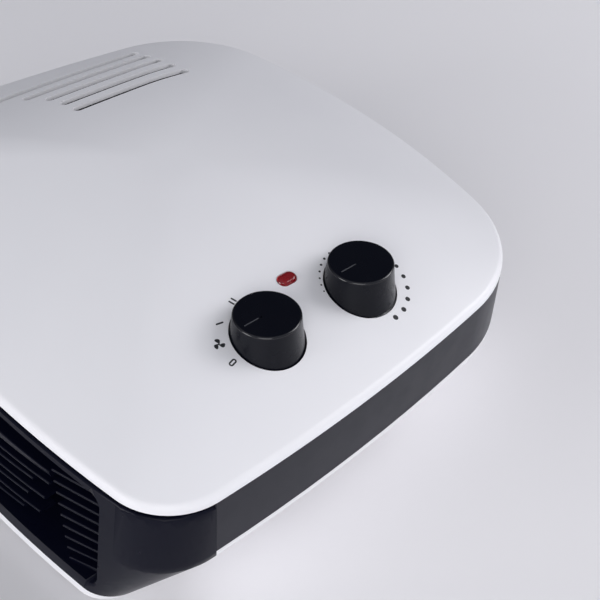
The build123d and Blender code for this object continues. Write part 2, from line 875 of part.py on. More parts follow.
def thermal_fuse():
    """Thermal fuse lying in a saddle on top of the heater frame."""
    middle_y = (frame_back_y + frame_front_y) / 2
    z = frame_high_z + fuse_r
    fuse = Pos(fuse_x, middle_y, z) * Rot(0, 90, 0) * Cylinder(fuse_r, fuse_length)
    fuse += block(fuse_x, middle_y, frame_high_z, fuse_length / 2, 3 * fuse_r, fuse_r)
    leads = Pos(fuse_x, middle_y, z) * Rot(0, 90, 0) * Cylinder(fuse_r / 4, 2 * fuse_length)
    return fuse + leads


def duct_section(y, low_x, high_x, low_z, high_z, skin):
    """Rectangular section of the air duct at one depth."""
    size = (high_x - low_x - 2 * skin, high_z - low_z - 2 * skin)
    plane = Plane(origin=((low_x + high_x) / 2, y, (low_z + high_z) / 2),
                  x_dir=(1, 0, 0), z_dir=(0, 1, 0))
    return plane * Rectangle(*size)


def air_duct():
    """Spreading duct from the blower's mouth to the heater frame."""
    half = heater_width / 2 + frame_side
    near = (frame_back_y, -half, half, frame_low_z, frame_high_z)
    far = (scroll_mouth_y, scroll_left_x, scroll_left_x + mouth_width, scroll_low_z, scroll_high_z)
    outer = loft([duct_section(*near, 0), duct_section(*far, 0)], ruled=True)
    inner = loft([duct_section(*near, scroll_wall), duct_section(*far, scroll_wall)], ruled=True)
    return outer - inner


def scroll_outline(inset):
    """Spiral outline of the blower: three growing quarter arcs and a straight mouth."""
    r1, r2, r3 = [scroll_start_r + scroll_growth * turn - inset for turn in range(3)]
    x, y = blower_x, blower_y
    mouth_y = scroll_mouth_y - inset
    right_x = scroll_left_x + mouth_width - inset
    tongue = (x, y - r1)
    right = (x + r1, y)
    x2 = x - scroll_growth
    top = (x2, y + r2)
    y3 = y - scroll_growth
    left = (x2 - r3, y3)
    turn = sin(radians(45))
    return Face(Wire([
        ThreePointArc(tongue, (x + r1 * turn, y - r1 * turn), right),
        ThreePointArc(right, (x2 + r2 * turn, y + r2 * turn), top),
        ThreePointArc(top, (x2 - r3 * turn, y3 + r3 * turn), left),
        Line(left, (left[0], mouth_y)),
        Line((left[0], mouth_y), (right_x, mouth_y)),
        Line((right_x, mouth_y), (right_x, tongue[1])),
        Line((right_x, tongue[1]), tongue),
    ]))


def scroll_housing():
    """Lower blower housing: spiral wall on a base plate with a hole for the shaft."""
    height = scroll_high_z - scroll_wall - scroll_low_z
    housing = extrude(Pos(0, 0, scroll_low_z) * scroll_outline(0), height)
    housing -= extrude(Pos(0, 0, scroll_low_z + scroll_wall) * scroll_outline(scroll_wall), height)
    housing -= post(blower_x, blower_y, scroll_low_z, scroll_low_z + scroll_wall, hub_r)
    for x, y in motor_screw_places():
        housing -= post(x, y, scroll_low_z, scroll_low_z + scroll_wall, mount_screw_r + slip)
    return housing


def scroll_cover():
    """Cover of the blower with a rolled inlet over the wheel."""
    low = scroll_high_z - scroll_wall
    cover = extrude(Pos(0, 0, low) * scroll_outline(0), scroll_wall)
    lip_low = low - inlet_lip
    cover += post(blower_x, blower_y, lip_low, scroll_high_z + 1, inlet_r + scroll_wall)
    cover -= post(blower_x, blower_y, lip_low, scroll_high_z + 1, inlet_r)
    edge = cover.edges().filter_by(GeomType.CIRCLE).group_by(Axis.Z)[-1]
    return chamfer(edge.sort_by(SortBy.RADIUS)[0], 1.0)


def wheel_vane():
    """One forward-curved vane of the blower wheel."""
    sweep = radians(vane_sweep)
    lead = radians(vane_lead)
    middle_r = (wheel_r + wheel_inner_r) / 2
    half = vane_thick / 2
    inner = [(wheel_inner_r, -half), (wheel_inner_r, half)]
    middle = [(middle_r * cos(lead), middle_r * sin(lead) + side) for side in (-half, half)]
    outer_r = wheel_r - slip
    outer = [(outer_r * cos(sweep), outer_r * sin(sweep) + side) for side in (-half, half)]
    outline = Wire([
        ThreePointArc(inner[0], middle[0], outer[0]),
        Line(outer[0], outer[1]),
        ThreePointArc(outer[1], middle[1], inner[1]),
        Line(inner[1], inner[0]),
    ])
    low = wheel_low_z + wheel_plate / 2
    return extrude(Pos(0, 0, low) * Face(outline), wheel_high_z - wheel_plate / 2 - low)


def fan_wheel():
    """Blower wheel: hub, back plate, a ring of vanes and the upper ring."""
    wheel = post(0, 0, wheel_low_z, wheel_low_z + wheel_plate, wheel_r)
    wheel += post(0, 0, wheel_low_z, wheel_low_z + hub_height, hub_r - 1)
    ring = post(0, 0, wheel_high_z - wheel_plate, wheel_high_z, wheel_r)
    wheel += ring - post(0, 0, wheel_high_z - wheel_plate, wheel_high_z, wheel_inner_r)
    vane = wheel_vane()
    wheel += [Rot(0, 0, 360 / blade_total * index) * vane for index in range(blade_total)]
    wheel -= post(0, 0, wheel_low_z, wheel_low_z + hub_height, motor_shaft_r)
    return Pos(blower_x, blower_y, 0) * wheel


def motor_shaft():
    """Steel shaft from the lower bearing up into the wheel's hub."""
    return post(blower_x, blower_y, motor_low_z, wheel_low_z + hub_height, motor_shaft_r)


def motor_rotor():
    """Squirrel-cage rotor on the shaft."""
    low = core_low_z - rotor_gap
    high = core_low_z + core_height + rotor_gap
    rotor = post(blower_x, blower_y, low, high, rotor_r)
    return rotor - post(blower_x, blower_y, low, high, motor_shaft_r)


def motor_screw_places():
    """Two long screws beside the rotor that hold the whole motor."""
    return [(blower_x + side * mount_spacing / 2, blower_y) for side in (-1, 1)]


def motor_core():
    """Laminated core: rotor bore in front, window and coil leg behind."""
    core_front_y = blower_y - core_size / 2 + core_shift
    core = Pos(blower_x, core_front_y, core_low_z) * Box(
        core_size, core_size + leg_width, core_height,
        align=(Align.CENTER, Align.MIN, Align.MIN))
    window_y = blower_y + core_bore_r + core_bridge
    core -= Pos(blower_x, window_y, core_low_z) * Box(
        core_size - 2 * leg_width, core_front_y + core_size - window_y, core_height,
        align=(Align.CENTER, Align.MIN, Align.MIN))
    core -= post(blower_x, blower_y, core_low_z, core_low_z + core_height, core_bore_r)
    for x, y in motor_screw_places():
        core -= post(x, y, core_low_z, core_low_z + core_height, mount_screw_r + slip)
    return core


def motor_coil():
    """Wound coil block round the back leg of the core."""
    leg_y = blower_y + core_size / 2 + core_shift
    size = leg_width + 2 * coil_build
    coil = block(blower_x, leg_y + leg_width / 2, core_low_z - coil_build, coil_size,
                 size, core_height + 2 * coil_build)
    coil = fillet(coil.edges().filter_by(Axis.X), coil_build / 2)
    return coil - block(blower_x, leg_y + leg_width / 2, core_low_z - slip, coil_size,
                        leg_width + 2 * slip, core_height + 2 * slip)


def bearing_bridge(z, way):
    """Strip across the motor with a bearing cup in the middle and two spacers."""
    bridge = block(blower_x, blower_y, z, mount_spacing + bridge_width, bridge_width, bridge_thick)
    bridge = fillet(bridge.edges().filter_by(Axis.Z), bridge_width / 3)
    cup_low = z - bearing_height + bridge_thick if way < 0 else z
    bridge += post(blower_x, blower_y, cup_low, cup_low + bearing_height, bearing_r)
    return bridge


def motor_bridges():
    """Upper and lower bearing bridges of the motor with their spacers."""
    core_high_z = core_low_z + core_height
    upper = bearing_bridge(scroll_low_z - grommet_height - bridge_thick, 1)
    lower = bearing_bridge(core_low_z - spacer_height - bridge_thick, -1)
    for x, y in motor_screw_places():
        upper += post(x, y, core_high_z, scroll_low_z - grommet_height, spacer_r)
        lower += post(x, y, core_low_z - spacer_height - bridge_thick, core_low_z, spacer_r)
        upper -= post(x, y, core_high_z, scroll_low_z, mount_screw_r + slip)
        lower -= post(x, y, motor_low_z, core_low_z, mount_screw_r + slip)
    bore = post(blower_x, blower_y, 0, scroll_high_z, motor_shaft_r + running)
    return Compound([upper - bore, lower - bore])


def motor_grommets():
    """Rubber rings between the motor and the blower housing."""
    rings = []
    for x, y in motor_screw_places():
        ring = post(x, y, scroll_low_z - grommet_height, scroll_low_z, spacer_r + 1)
        rings.append(ring - post(x, y, scroll_low_z - grommet_height, scroll_low_z,
                                 mount_screw_r + slip))
    return Compound(rings)


def motor_screws():
    """Two long screws from under the motor up into the blower housing, each with its nut."""
    low = core_low_z - spacer_height - bridge_thick
    screws = []
    for x, y in motor_screw_places():
        screw = post(x, y, low, scroll_low_z + scroll_wall + nut_height, mount_screw_r)
        nut = Pos(x, y, scroll_low_z + scroll_wall) * extrude(
            RegularPolygon(nut_r, 6), nut_height)
        screws.append(screw + nut + pan_head(x, y, low, -1))
    return Compound(screws)


def case_screws():
    """Long screws in the four case posts."""
    screws = []
    for x, y in case_posts:
        shank = post(x, y, post_shelf_z, post_top_z + screw_bite, screw_r - running)
        screws.append(shank + pan_head(x, y, post_shelf_z, -1))
    return Compound(screws)


def rubber_feet():
    """Four round rubber feet set into the base."""
    feet = []
    for x, y in case_feet:
        foot = post(x, y, 0, base_z + foot_sink, foot_r)
        feet.append(chamfer(foot.edges().group_by(Axis.Z)[0], 1.0))
    return Compound(feet)


def cord_gland():
    """Flanged bush that guides the mains cord through the collar."""
    inside_y = gland_collar_y - gland_collar_length - nut_height - 1
    gland = along_y(gland_x, inside_y, gland_z, gland_r - slip, gland_collar_y - inside_y)
    flange = along_y(0, 0, 0, gland_flange_r, gland_flange)
    flange = chamfer(flange.edges().sort_by(Axis.Y)[-1], gland_flange / 2)
    gland += Pos(gland_x, gland_collar_y, gland_z) * flange
    return gland - along_y(gland_x, inside_y, gland_z, cord_hole_r, belt_depth)


def gland_nut():
    """Six-sided nut that holds the gland from inside."""
    outside_y = gland_collar_y - gland_collar_length
    nut = Pos(gland_x, outside_y, gland_z) * Rot(90, 0, 0) * extrude(
        RegularPolygon(gland_flange_r, 6), nut_height)
    return nut - along_y(gland_x, blower_y, gland_z, gland_r, belt_depth)


def terminal_block():
    """Block on the base where the mains wires are joined, with open ways along Y."""
    body = block(terminal_x, terminal_y, base_z + wall, terminal_size, terminal_depth,
                 terminal_height)
    step = terminal_size / terminal_ways
    for index in range(terminal_ways):
        x = terminal_x + step * (index - (terminal_ways - 1) / 2)
        z = base_z + wall + terminal_height / 3
        body -= along_y(x, terminal_y - terminal_depth, z, way_r, 2 * terminal_depth)
        body -= post(x, terminal_y, z, base_z + wall + terminal_height, way_r)
    return body


def terminal_screws():
    """Brass clamping screws of the terminal block."""
    step = terminal_size / terminal_ways
    screws = []
    for index in range(terminal_ways):
        x = terminal_x + step * (index - (terminal_ways - 1) / 2)
        low = base_z + wall + terminal_height / 3 + way_r / 2
        screws.append(post(x, terminal_y, low, base_z + wall + terminal_height - 1, way_r))
    return Compound(screws)


subparts = {
    "top_shell": top_shell(),
    "side_belt": side_belt(),
    "bottom_tray": tray(),
    "front_grille": front_grille(),
    "intake_screen": intake_screen(),
    "function_knob": knob(*function_place, *function_pointer),
    "thermostat_knob": knob(*thermostat_place, *thermostat_pointer),
    "function_shaft": control_shaft(*function_place),
    "thermostat_shaft": control_shaft(*thermostat_place),
    "function_switch": function_switch(),
    "switch_tabs": switch_tabs(),
    "thermostat_body": thermostat_body(),
    "thermostat_leaves": thermostat_leaves(),
    "thermostat_tabs": thermostat_tabs(),
    "control_screws": control_screws(),
    "lamp_lens": lamp_lens(),
    "neon_lamp": neon_lamp(),
    "lamp_holder": lamp_holder(),
    "heater_frame": heater_frame(),
    "heating_tubes": heating_tubes(),
    "ceramic_stones": ceramic_stones(),
    "heater_fins": heater_fins(),
    "heater_terminals": heater_terminals(),
    "thermal_cutout": thermal_cutout(),
    "thermal_fuse": thermal_fuse(),
    "air_duct": air_duct(),
    "scroll_housing": scroll_housing(),
    "scroll_cover": scroll_cover(),
    "fan_wheel": fan_wheel(),
    "motor_shaft": motor_shaft(),
    "motor_rotor": motor_rotor(),
    "motor_core": motor_core(),
    "motor_coil": motor_coil(),
    "motor_bridges": motor_bridges(),
    "motor_grommets": motor_grommets(),
    "motor_screws": motor_screws(),
    "case_screws": case_screws(),
    "rubber_feet": rubber_feet(),
    "cord_gland": cord_gland(),
    "gland_nut": gland_nut(),
    "terminal_block": terminal_block(),
    "terminal_screws": terminal_screws(),
}

for name, shape in subparts.items():
    export_step(shape, f"parts/{name}.step")
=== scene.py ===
# %% [markdown]
# # A low ceramic fan heater
#
# The heater is a flat, rounded box that stands on the floor. A white domed cover carries two
# black knobs, a red signal lamp and a few printed signs. Below it a charcoal belt runs round
# the sides, a white tray tapers towards the feet, and a black slatted grille closes the front.
# The model arrives as solids whose places are right. This script gives them smooth surfaces,
# real finishes, printed marks, light and a camera.

# %% Load the frame
import json
from math import atan2, cos, pi, radians, sin, sqrt

import bmesh
import bpy
from mathutils import Matrix, Vector
from mathutils.bvhtree import BVHTree

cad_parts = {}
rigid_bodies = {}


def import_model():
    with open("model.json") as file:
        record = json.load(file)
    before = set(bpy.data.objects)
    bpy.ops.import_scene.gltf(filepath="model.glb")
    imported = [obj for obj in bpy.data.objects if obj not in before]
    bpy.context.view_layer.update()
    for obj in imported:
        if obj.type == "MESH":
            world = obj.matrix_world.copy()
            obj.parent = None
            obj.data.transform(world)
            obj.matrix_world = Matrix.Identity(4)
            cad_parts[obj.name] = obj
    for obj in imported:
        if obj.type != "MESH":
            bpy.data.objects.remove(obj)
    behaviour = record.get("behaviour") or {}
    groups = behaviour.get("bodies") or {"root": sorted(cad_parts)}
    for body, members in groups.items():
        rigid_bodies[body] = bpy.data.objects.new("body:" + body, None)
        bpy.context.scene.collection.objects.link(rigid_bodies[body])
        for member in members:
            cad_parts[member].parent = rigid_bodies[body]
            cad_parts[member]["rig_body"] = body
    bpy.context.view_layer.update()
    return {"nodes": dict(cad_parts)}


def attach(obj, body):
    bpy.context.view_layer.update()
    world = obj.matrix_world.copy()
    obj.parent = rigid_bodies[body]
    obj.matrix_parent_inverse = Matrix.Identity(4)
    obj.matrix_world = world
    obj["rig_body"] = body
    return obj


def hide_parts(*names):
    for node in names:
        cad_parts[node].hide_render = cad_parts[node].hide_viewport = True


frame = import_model()
MM = 0.001

# %% [markdown]
# ## The camera
#
# The camera comes first, so that every later step can be judged through it. It stands in
# front of the right front corner and looks down on the controls. Its axes are written as
# three directions: to the right of the picture, down the picture, and into it.

# %% Camera
EYE = Vector((424.8, -295.1, 497.6)) * MM
PICTURE_RIGHT = Vector((0.65513, 0.75469, 0.03527))
PICTURE_DOWN = Vector((0.52636, -0.42243, -0.73790))
VIEW_AHEAD = Vector((-0.54199, 0.50199, -0.67399))
SENSOR_WIDTH = 36.0
FOCAL_PIXELS = 1245.0
PICTURE_PIXELS = 600.0

camera_data = bpy.data.cameras.new("camera")
camera_data.sensor_fit = "HORIZONTAL"
camera_data.sensor_width = SENSOR_WIDTH
camera_data.lens = FOCAL_PIXELS / PICTURE_PIXELS * SENSOR_WIDTH
camera = bpy.data.objects.new("camera", camera_data)
camera.matrix_world = Matrix.Translation(EYE) @ Matrix(
    (PICTURE_RIGHT, -PICTURE_DOWN, -VIEW_AHEAD)).transposed().to_4x4()
bpy.context.collection.objects.link(camera)
bpy.context.scene.camera = camera
print("lens:", round(camera_data.lens, 1), "mm")

# %% [markdown]
# ## Helpers for materials
#
# Colours are written as sRGB hex values, the way a colour picker shows them, and one function
# turns them to the linear numbers that Blender works with. A second function adds a node with
# its settings and its links, so that each material below reads as a short recipe.

# %% Colour and nodes
def srgb(code):
    """Linear colour of an sRGB hex value."""
    shares = [int(code[start:start + 2], 16) / 255 for start in (1, 3, 5)]
    linear = [s / 12.92 if s <= 0.04045 else ((s + 0.055) / 1.055) ** 2.4 for s in shares]
    return (*linear, 1.0)


def add(tree, kind, inputs=None, **settings):
    """Adds a node. Each input is a value, or a pair of a node and the name of its output."""
    node = tree.nodes.new(kind)
    for name, value in settings.items():
        setattr(node, name, value)
    for name, value in (inputs or {}).items():
        if isinstance(value, tuple) and isinstance(value[0], bpy.types.Node):
            tree.links.new(value[0].outputs[value[1]], node.inputs[name])
        else:
            node.inputs[name].default_value = value
    return node


def blank_material(name):
    """A material with an empty node tree and the object's own coordinates in it."""
    material = bpy.data.materials.new(name)
    material.use_nodes = True
    tree = material.node_tree
    tree.nodes.clear()
    return material, tree, add(tree, "ShaderNodeTexCoord")


def per_metre(size_mm):
    """Scale of a pattern whose grains or waves are this many millimetres apart."""
    return 1 / (size_mm * MM)


def output(tree, shader, socket="BSDF"):
    """Ends a node tree in the surface output."""
    add(tree, "ShaderNodeOutputMaterial", {"Surface": (shader, socket)})


# %% [markdown]
# ## Moulded plastic
#
# The cover and tray are white ABS, the belt is charcoal ABS, the knobs are nearly black ABS, and
# the grille and many inner parts are glass-filled nylon. All come from steel moulds whose faces
# were spark-eroded, which prints a fine matt grain on the part. The eye reads it from three
# things: a soft broad highlight, tiny differences of gloss, and a grain that only shows where
# light grazes. The grain of a real mould is about 0.1 mm. It is drawn a few times coarser,
# because a finer one would vanish. The real dark parts mirror little of the room, so their
# specular level is lowered.

# %% Moulded plastic
CLOUD_MM, HANDLING_MM = 70, 12


def moulded_plastic(name, colour, shade, roughness, grain_mm, grain_depth_mm, ior=1.54,
                    specular=0.5):
    """Plastic from a spark-eroded mould: grain, faint clouds of colour and uneven gloss."""
    material, tree, place = blank_material(name)
    clouds = add(tree, "ShaderNodeTexNoise", {
        "Vector": (place, "Object"), "Scale": per_metre(CLOUD_MM), "Detail": 2.0})
    tint = add(tree, "ShaderNodeMix", {
        0: (clouds, "Fac"), 6: srgb(colour), 7: srgb(shade)}, data_type="RGBA")
    handling = add(tree, "ShaderNodeTexNoise", {
        "Vector": (place, "Object"), "Scale": per_metre(HANDLING_MM), "Detail": 4.0})
    gloss = add(tree, "ShaderNodeMapRange", {
        "Value": (handling, "Fac"), "From Min": 0.3, "From Max": 0.7,
        "To Min": roughness - 0.03, "To Max": roughness + 0.04})
    grain = add(tree, "ShaderNodeTexNoise", {
        "Vector": (place, "Object"), "Scale": per_metre(grain_mm), "Detail": 3.0,
        "Roughness": 0.6})
    bump = add(tree, "ShaderNodeBump", {
        "Height": (grain, "Fac"), "Distance": grain_depth_mm * MM, "Strength": 1.0})
    shader = add(tree, "ShaderNodeBsdfPrincipled", {
        "Base Color": (tint, 2), "Roughness": (gloss, "Result"), "IOR": ior,
        "Specular IOR Level": specular, "Normal": (bump, "Normal")})
    output(tree, shader)
    return material


white_abs = moulded_plastic("white_abs", "#F2F2F4", "#EDEDF0", 0.42, 0.7, 0.006)
charcoal_abs = moulded_plastic("charcoal_abs", "#131421", "#11121D", 0.34, 0.6, 0.006,
                               specular=0.23)
knob_abs = moulded_plastic("knob_abs", "#040610", "#060812", 0.26, 0.5, 0.004, specular=0.2)
black_nylon = moulded_plastic("black_nylon", "#070918", "#090B1B", 0.3, 0.5, 0.004,
                              ior=1.53, specular=0.12)
# The knobs' rounded edge: a lower roughness for the polish of fingers, and a colour lighter than
# the knob's, which is a painted highlight along the edge.
polished_edge_painted_highlight = moulded_plastic("knob_abs_polished_edge_with_painted_highlight", "#101118", "#0C0D13", 0.16, 0.5, 0.001)
pointer_paint = moulded_plastic("grey_pointer_paint", "#3E4047", "#36383E", 0.5, 0.3, 0.004)
grey_plastic = moulded_plastic("grey_polypropylene", "#8C8F93", "#84878B", 0.5, 0.8, 0.01,
                               ior=1.49)
cream_plastic = moulded_plastic("cream_urea_plastic", "#E4DFCF", "#DAD4C2", 0.35, 0.8, 0.01,
                                ior=1.5)
print("plastics:", len(bpy.data.materials))

# %% [markdown]
# ## Metals, ceramic, rubber and glass
#
# Behind the grille sits the heating block: corrugated aluminium between flat tubes that hold
# ceramic stones. Rolled metal keeps long fine lines from the rolls, and turned metal keeps those
# of the tool, so the noise is stretched: short across the lines and long along them.

# %% Rolled and turned metal
def rolled_metal(name, colour, shade, roughness, line_mm, run_mm):
    """Metal with fine drawn lines: noise that is short across and long along X."""
    material, tree, place = blank_material(name)
    stretch = add(tree, "ShaderNodeMapping", {
        "Vector": (place, "Object"), "Scale": (line_mm / run_mm, 1.0, 1.0)})
    lines = add(tree, "ShaderNodeTexNoise", {
        "Vector": (stretch, "Vector"), "Scale": per_metre(line_mm), "Detail": 3.0})
    tint = add(tree, "ShaderNodeMix", {
        0: (lines, "Fac"), 6: srgb(colour), 7: srgb(shade)}, data_type="RGBA")
    gloss = add(tree, "ShaderNodeMapRange", {
        "Value": (lines, "Fac"), "From Min": 0.3, "From Max": 0.7,
        "To Min": roughness - 0.06, "To Max": roughness + 0.08})
    bump = add(tree, "ShaderNodeBump", {
        "Height": (lines, "Fac"), "Distance": 0.01 * MM, "Strength": 0.6})
    shader = add(tree, "ShaderNodeBsdfPrincipled", {
        "Base Color": (tint, 2), "Metallic": 1.0, "Roughness": (gloss, "Result"),
        "Normal": (bump, "Normal")})
    output(tree, shader)
    return material


aluminium = rolled_metal("rolled_aluminium", "#D5D7DA", "#BFC2C6", 0.30, 0.5, 12)
zinc_steel = rolled_metal("zinc_plated_steel", "#B9BDC2", "#A6A9AD", 0.28, 0.4, 4)
brass = rolled_metal("rolled_brass", "#D9B36A", "#C49D55", 0.30, 0.4, 4)
rotor_steel = rolled_metal("turned_steel", "#8F9296", "#7C7F83", 0.34, 0.3, 3)
print("with metals:", len(bpy.data.materials))

# %% [markdown]
# The motor's core is a stack of thin steel sheets, which shows as lines half a millimetre apart.
# Its winding is enamelled copper wire, turn beside turn. Both are bands with a dark line between
# them, and the same bands raise the surface a little. Blender's wave texture repeats every pi / 10
# at scale 1, so that number turns a layer's thickness into a scale.

# %% Stacked sheets and wound wire
WAVE_PERIOD = pi / 10


def layered(name, colour, gap_colour, layer_mm, axis, roughness, metallic):
    """Layers or turns side by side along one axis, with a dark line between them."""
    material, tree, place = blank_material(name)
    waves = add(tree, "ShaderNodeTexWave", {
        "Vector": (place, "Object"), "Scale": per_metre(layer_mm) * WAVE_PERIOD,
        "Distortion": 0.4, "Detail": 1.0}, bands_direction=axis)
    tint = add(tree, "ShaderNodeMix", {
        0: (waves, "Fac"), 6: srgb(gap_colour), 7: srgb(colour)}, data_type="RGBA")
    bump = add(tree, "ShaderNodeBump", {
        "Height": (waves, "Fac"), "Distance": layer_mm / 3 * MM, "Strength": 0.8})
    shader = add(tree, "ShaderNodeBsdfPrincipled", {
        "Base Color": (tint, 2), "Metallic": metallic, "Roughness": roughness,
        "Normal": (bump, "Normal")})
    output(tree, shader)
    return material


lamination = layered("steel_laminations", "#7F848A", "#3E4146", 0.5, "Z", 0.45, 1.0)
enamelled_wire = layered("enamelled_copper_wire", "#B4673A", "#54280F", 0.6, "X", 0.30, 0.0)
print("with layers:", len(bpy.data.materials))

# %% [markdown]
# Rubber is matt with a coarse grain, and the unglazed ceramic has faint specks. The printing ink
# is nearly smooth and dries a little lighter than black.

# %% Grainy matt surfaces
def matt_grain(name, colour, speck, roughness, grain_mm, depth_mm):
    """Matt surface with a visible grain and specks: rubber, or an unglazed ceramic."""
    material, tree, place = blank_material(name)
    grain = add(tree, "ShaderNodeTexNoise", {
        "Vector": (place, "Object"), "Scale": per_metre(grain_mm), "Detail": 5.0})
    tint = add(tree, "ShaderNodeMix", {
        0: (grain, "Fac"), 6: srgb(colour), 7: srgb(speck)}, data_type="RGBA")
    bump = add(tree, "ShaderNodeBump", {
        "Height": (grain, "Fac"), "Distance": depth_mm * MM, "Strength": 0.8})
    shader = add(tree, "ShaderNodeBsdfPrincipled", {
        "Base Color": (tint, 2), "Roughness": roughness, "Normal": (bump, "Normal")})
    output(tree, shader)
    return material


rubber = matt_grain("black_rubber", "#141414", "#1F1F20", 0.75, 0.9, 0.05)
steatite = matt_grain("steatite", "#DED8C8", "#CFC7B4", 0.6, 1.2, 0.03)
printed_ink = matt_grain("printing_ink", "#1B1C20", "#222327", 0.5, 0.3, 0.002)
print("with matt surfaces:", len(bpy.data.materials))

# %% [markdown]
# The lamp's lens is red polycarbonate. It is clear inside, so it looks dark at its edge and
# brighter where the light crosses it. The neon tube below it is plain glass.

# %% Clear pieces
FLOW_MM = 3


def clear_piece(name, colour, roughness, ior, share):
    """Clear coloured plastic or glass with slightly uneven gloss."""
    material, tree, place = blank_material(name)
    flow = add(tree, "ShaderNodeTexNoise", {
        "Vector": (place, "Object"), "Scale": per_metre(FLOW_MM), "Detail": 2.0})
    gloss = add(tree, "ShaderNodeMapRange", {
        "Value": (flow, "Fac"), "To Min": roughness, "To Max": roughness + 0.06})
    shader = add(tree, "ShaderNodeBsdfPrincipled", {
        "Base Color": srgb(colour), "Roughness": (gloss, "Result"), "IOR": ior,
        "Transmission Weight": share})
    output(tree, shader)
    return material


red_lens = clear_piece("red_polycarbonate", "#C80C20", 0.05, 1.58, 0.65)
neon_glass = clear_piece("neon_glass", "#F3D9C8", 0.02, 1.5, 0.9)
print("materials:", len(bpy.data.materials))

# %% [markdown]
# ## Making a piece
#
# Every new piece is shaped in a bmesh, in millimetres, at its place on the heater. One function
# turns it to metres, gives it its finish, ties it to the body that it moves with and hides the
# plain solid that it stands for. Faces that meet at a small angle are shaded as one smooth
# surface, and the rest stay crisp.

# %% Finish a piece
CRISP_DEGREES = 32.0


def finish(bm, name, material, body="case", stands_for=(), crisp=CRISP_DEGREES):
    """Makes an object of a bmesh in millimetres and ties it to a body of the frame."""
    bmesh.ops.scale(bm, vec=(MM, MM, MM), verts=bm.verts)
    mesh = bpy.data.meshes.new(name)
    bm.to_mesh(mesh)
    bm.free()
    piece = bpy.data.objects.new(name, mesh)
    bpy.context.collection.objects.link(piece)
    mesh.materials.append(material)
    mesh.polygons.foreach_set("use_smooth", [True] * len(mesh.polygons))
    mesh.set_sharp_from_angle(angle=radians(crisp))
    normals = piece.modifiers.new("weighted_normals", "WEIGHTED_NORMAL")
    normals.keep_sharp = True
    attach(piece, body)
    if stands_for:
        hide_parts(*stands_for)
    return piece


# %% [markdown]
# Holes, wells, posts and grooves come from simple tools: upright bars, round or with the outline
# of a slot, that are added to a piece or taken from it. Blender's exact boolean does this on
# two objects that are thrown away afterwards.

# %% Carve with simple tools
def carve(bm, tool, operation):
    """Adds, removes or keeps the space of one bmesh in another. Returns the new bmesh."""
    objects = []
    for part in (bm, tool):
        mesh = bpy.data.meshes.new("carving")
        part.to_mesh(mesh)
        part.free()
        objects.append(bpy.data.objects.new("carving", mesh))
        bpy.context.collection.objects.link(objects[-1])
    modifier = objects[0].modifiers.new("carve", "BOOLEAN")
    modifier.operation = operation
    modifier.solver = "EXACT"
    modifier.object = objects[1]
    bpy.context.view_layer.update()
    carved = bmesh.new()
    evaluated = objects[0].evaluated_get(bpy.context.evaluated_depsgraph_get())
    carved.from_mesh(evaluated.to_mesh())
    evaluated.to_mesh_clear()
    for made in objects:
        bpy.data.objects.remove(made)
    return carved


def round_bar(x, y, low, high, radius, segments=72, top_radius=None):
    """Upright round bar between two heights, tapered if it has another radius at its top."""
    bm = bmesh.new()
    bmesh.ops.create_cone(bm, cap_ends=True, segments=segments, radius1=radius,
                          radius2=top_radius or radius, depth=high - low,
                          matrix=Matrix.Translation((x, y, (low + high) / 2)))
    return bm


def stadium(bm, x, y, z, length, width, segments=32):
    """Flat face with the outline of a slot along Y: a circle whose halves are pulled apart."""
    half_step = Matrix.Rotation(pi / segments, 4, "Z")
    ring = bmesh.ops.create_circle(bm, cap_ends=True, segments=segments, radius=width / 2,
                                   matrix=half_step)["verts"]
    for side in (-1, 1):
        half = [v for v in ring if v.co.y * side > 0]
        bmesh.ops.translate(bm, vec=(0, side * (length - width) / 2, 0), verts=half)
    bmesh.ops.translate(bm, vec=(x, y, z), verts=ring)
    return ring


def slot_bar(x, y, low, high, length, width):
    """Upright bar with the outline of a slot."""
    bm = bmesh.new()
    stadium(bm, x, y, low, length, width)
    raised = bmesh.ops.extrude_face_region(bm, geom=bm.faces[:])
    bmesh.ops.translate(bm, vec=(0, 0, high - low),
                        verts=[g for g in raised["geom"] if isinstance(g, bmesh.types.BMVert)])
    bmesh.ops.recalc_face_normals(bm, faces=bm.faces)
    return bm


# %% [markdown]
# ## The domed cover
#
# The real cover is one white moulding. Seen from above it is a square with bowed sides and
# large round corners, a little narrower at the back. Its top is a shallow dome that falls
# evenly to a rounded rim. The plain solid is drawn as flat facets, which a glossy surface
# would show, so the cover is shaped again. Its outline is drawn of eight arcs: four bowed sides,
# and a corner arc between each two of them that touches both.

# %% Outline of the case
BODY_WIDTH = 329.2
BELT_DEPTH = 287.0
MIDDLE_Y = 4.5
FRONT_BOW, BACK_BOW = 17.0, 21.0
FRONT_TOE, MIDDLE_TOE, BACK_TOE = 0.9, 4.1, 22.6
FRONT_CORNER, BACK_CORNER = 34.0, 73.0


def circle_through(a, b, c):
    """Centre and radius of the circle through three points."""
    d = 2 * (a.x * (b.y - c.y) + b.x * (c.y - a.y) + c.x * (a.y - b.y))
    squares = [p.length_squared for p in (a, b, c)]
    centre = Vector((
        (squares[0] * (b.y - c.y) + squares[1] * (c.y - a.y) + squares[2] * (a.y - b.y)) / d,
        (squares[0] * (c.x - b.x) + squares[1] * (a.x - c.x) + squares[2] * (b.x - a.x)) / d))
    return centre, (a - centre).length


def corner_centre(first, second, radius, near):
    """Centre of the corner arc that touches two bowed sides from inside."""
    (centre_a, radius_a), (centre_b, radius_b) = first, second
    reach_a, reach_b = radius_a - radius, radius_b - radius
    span = centre_b - centre_a
    along = (reach_a ** 2 - reach_b ** 2 + span.length_squared) / (2 * span.length)
    aside = sqrt(reach_a ** 2 - along ** 2)
    unit = span.normalized()
    middle = centre_a + unit * along
    normal = Vector((-unit.y, unit.x))
    return min((middle + normal * aside * side for side in (-1, 1)),
               key=lambda point: (point - near).length)


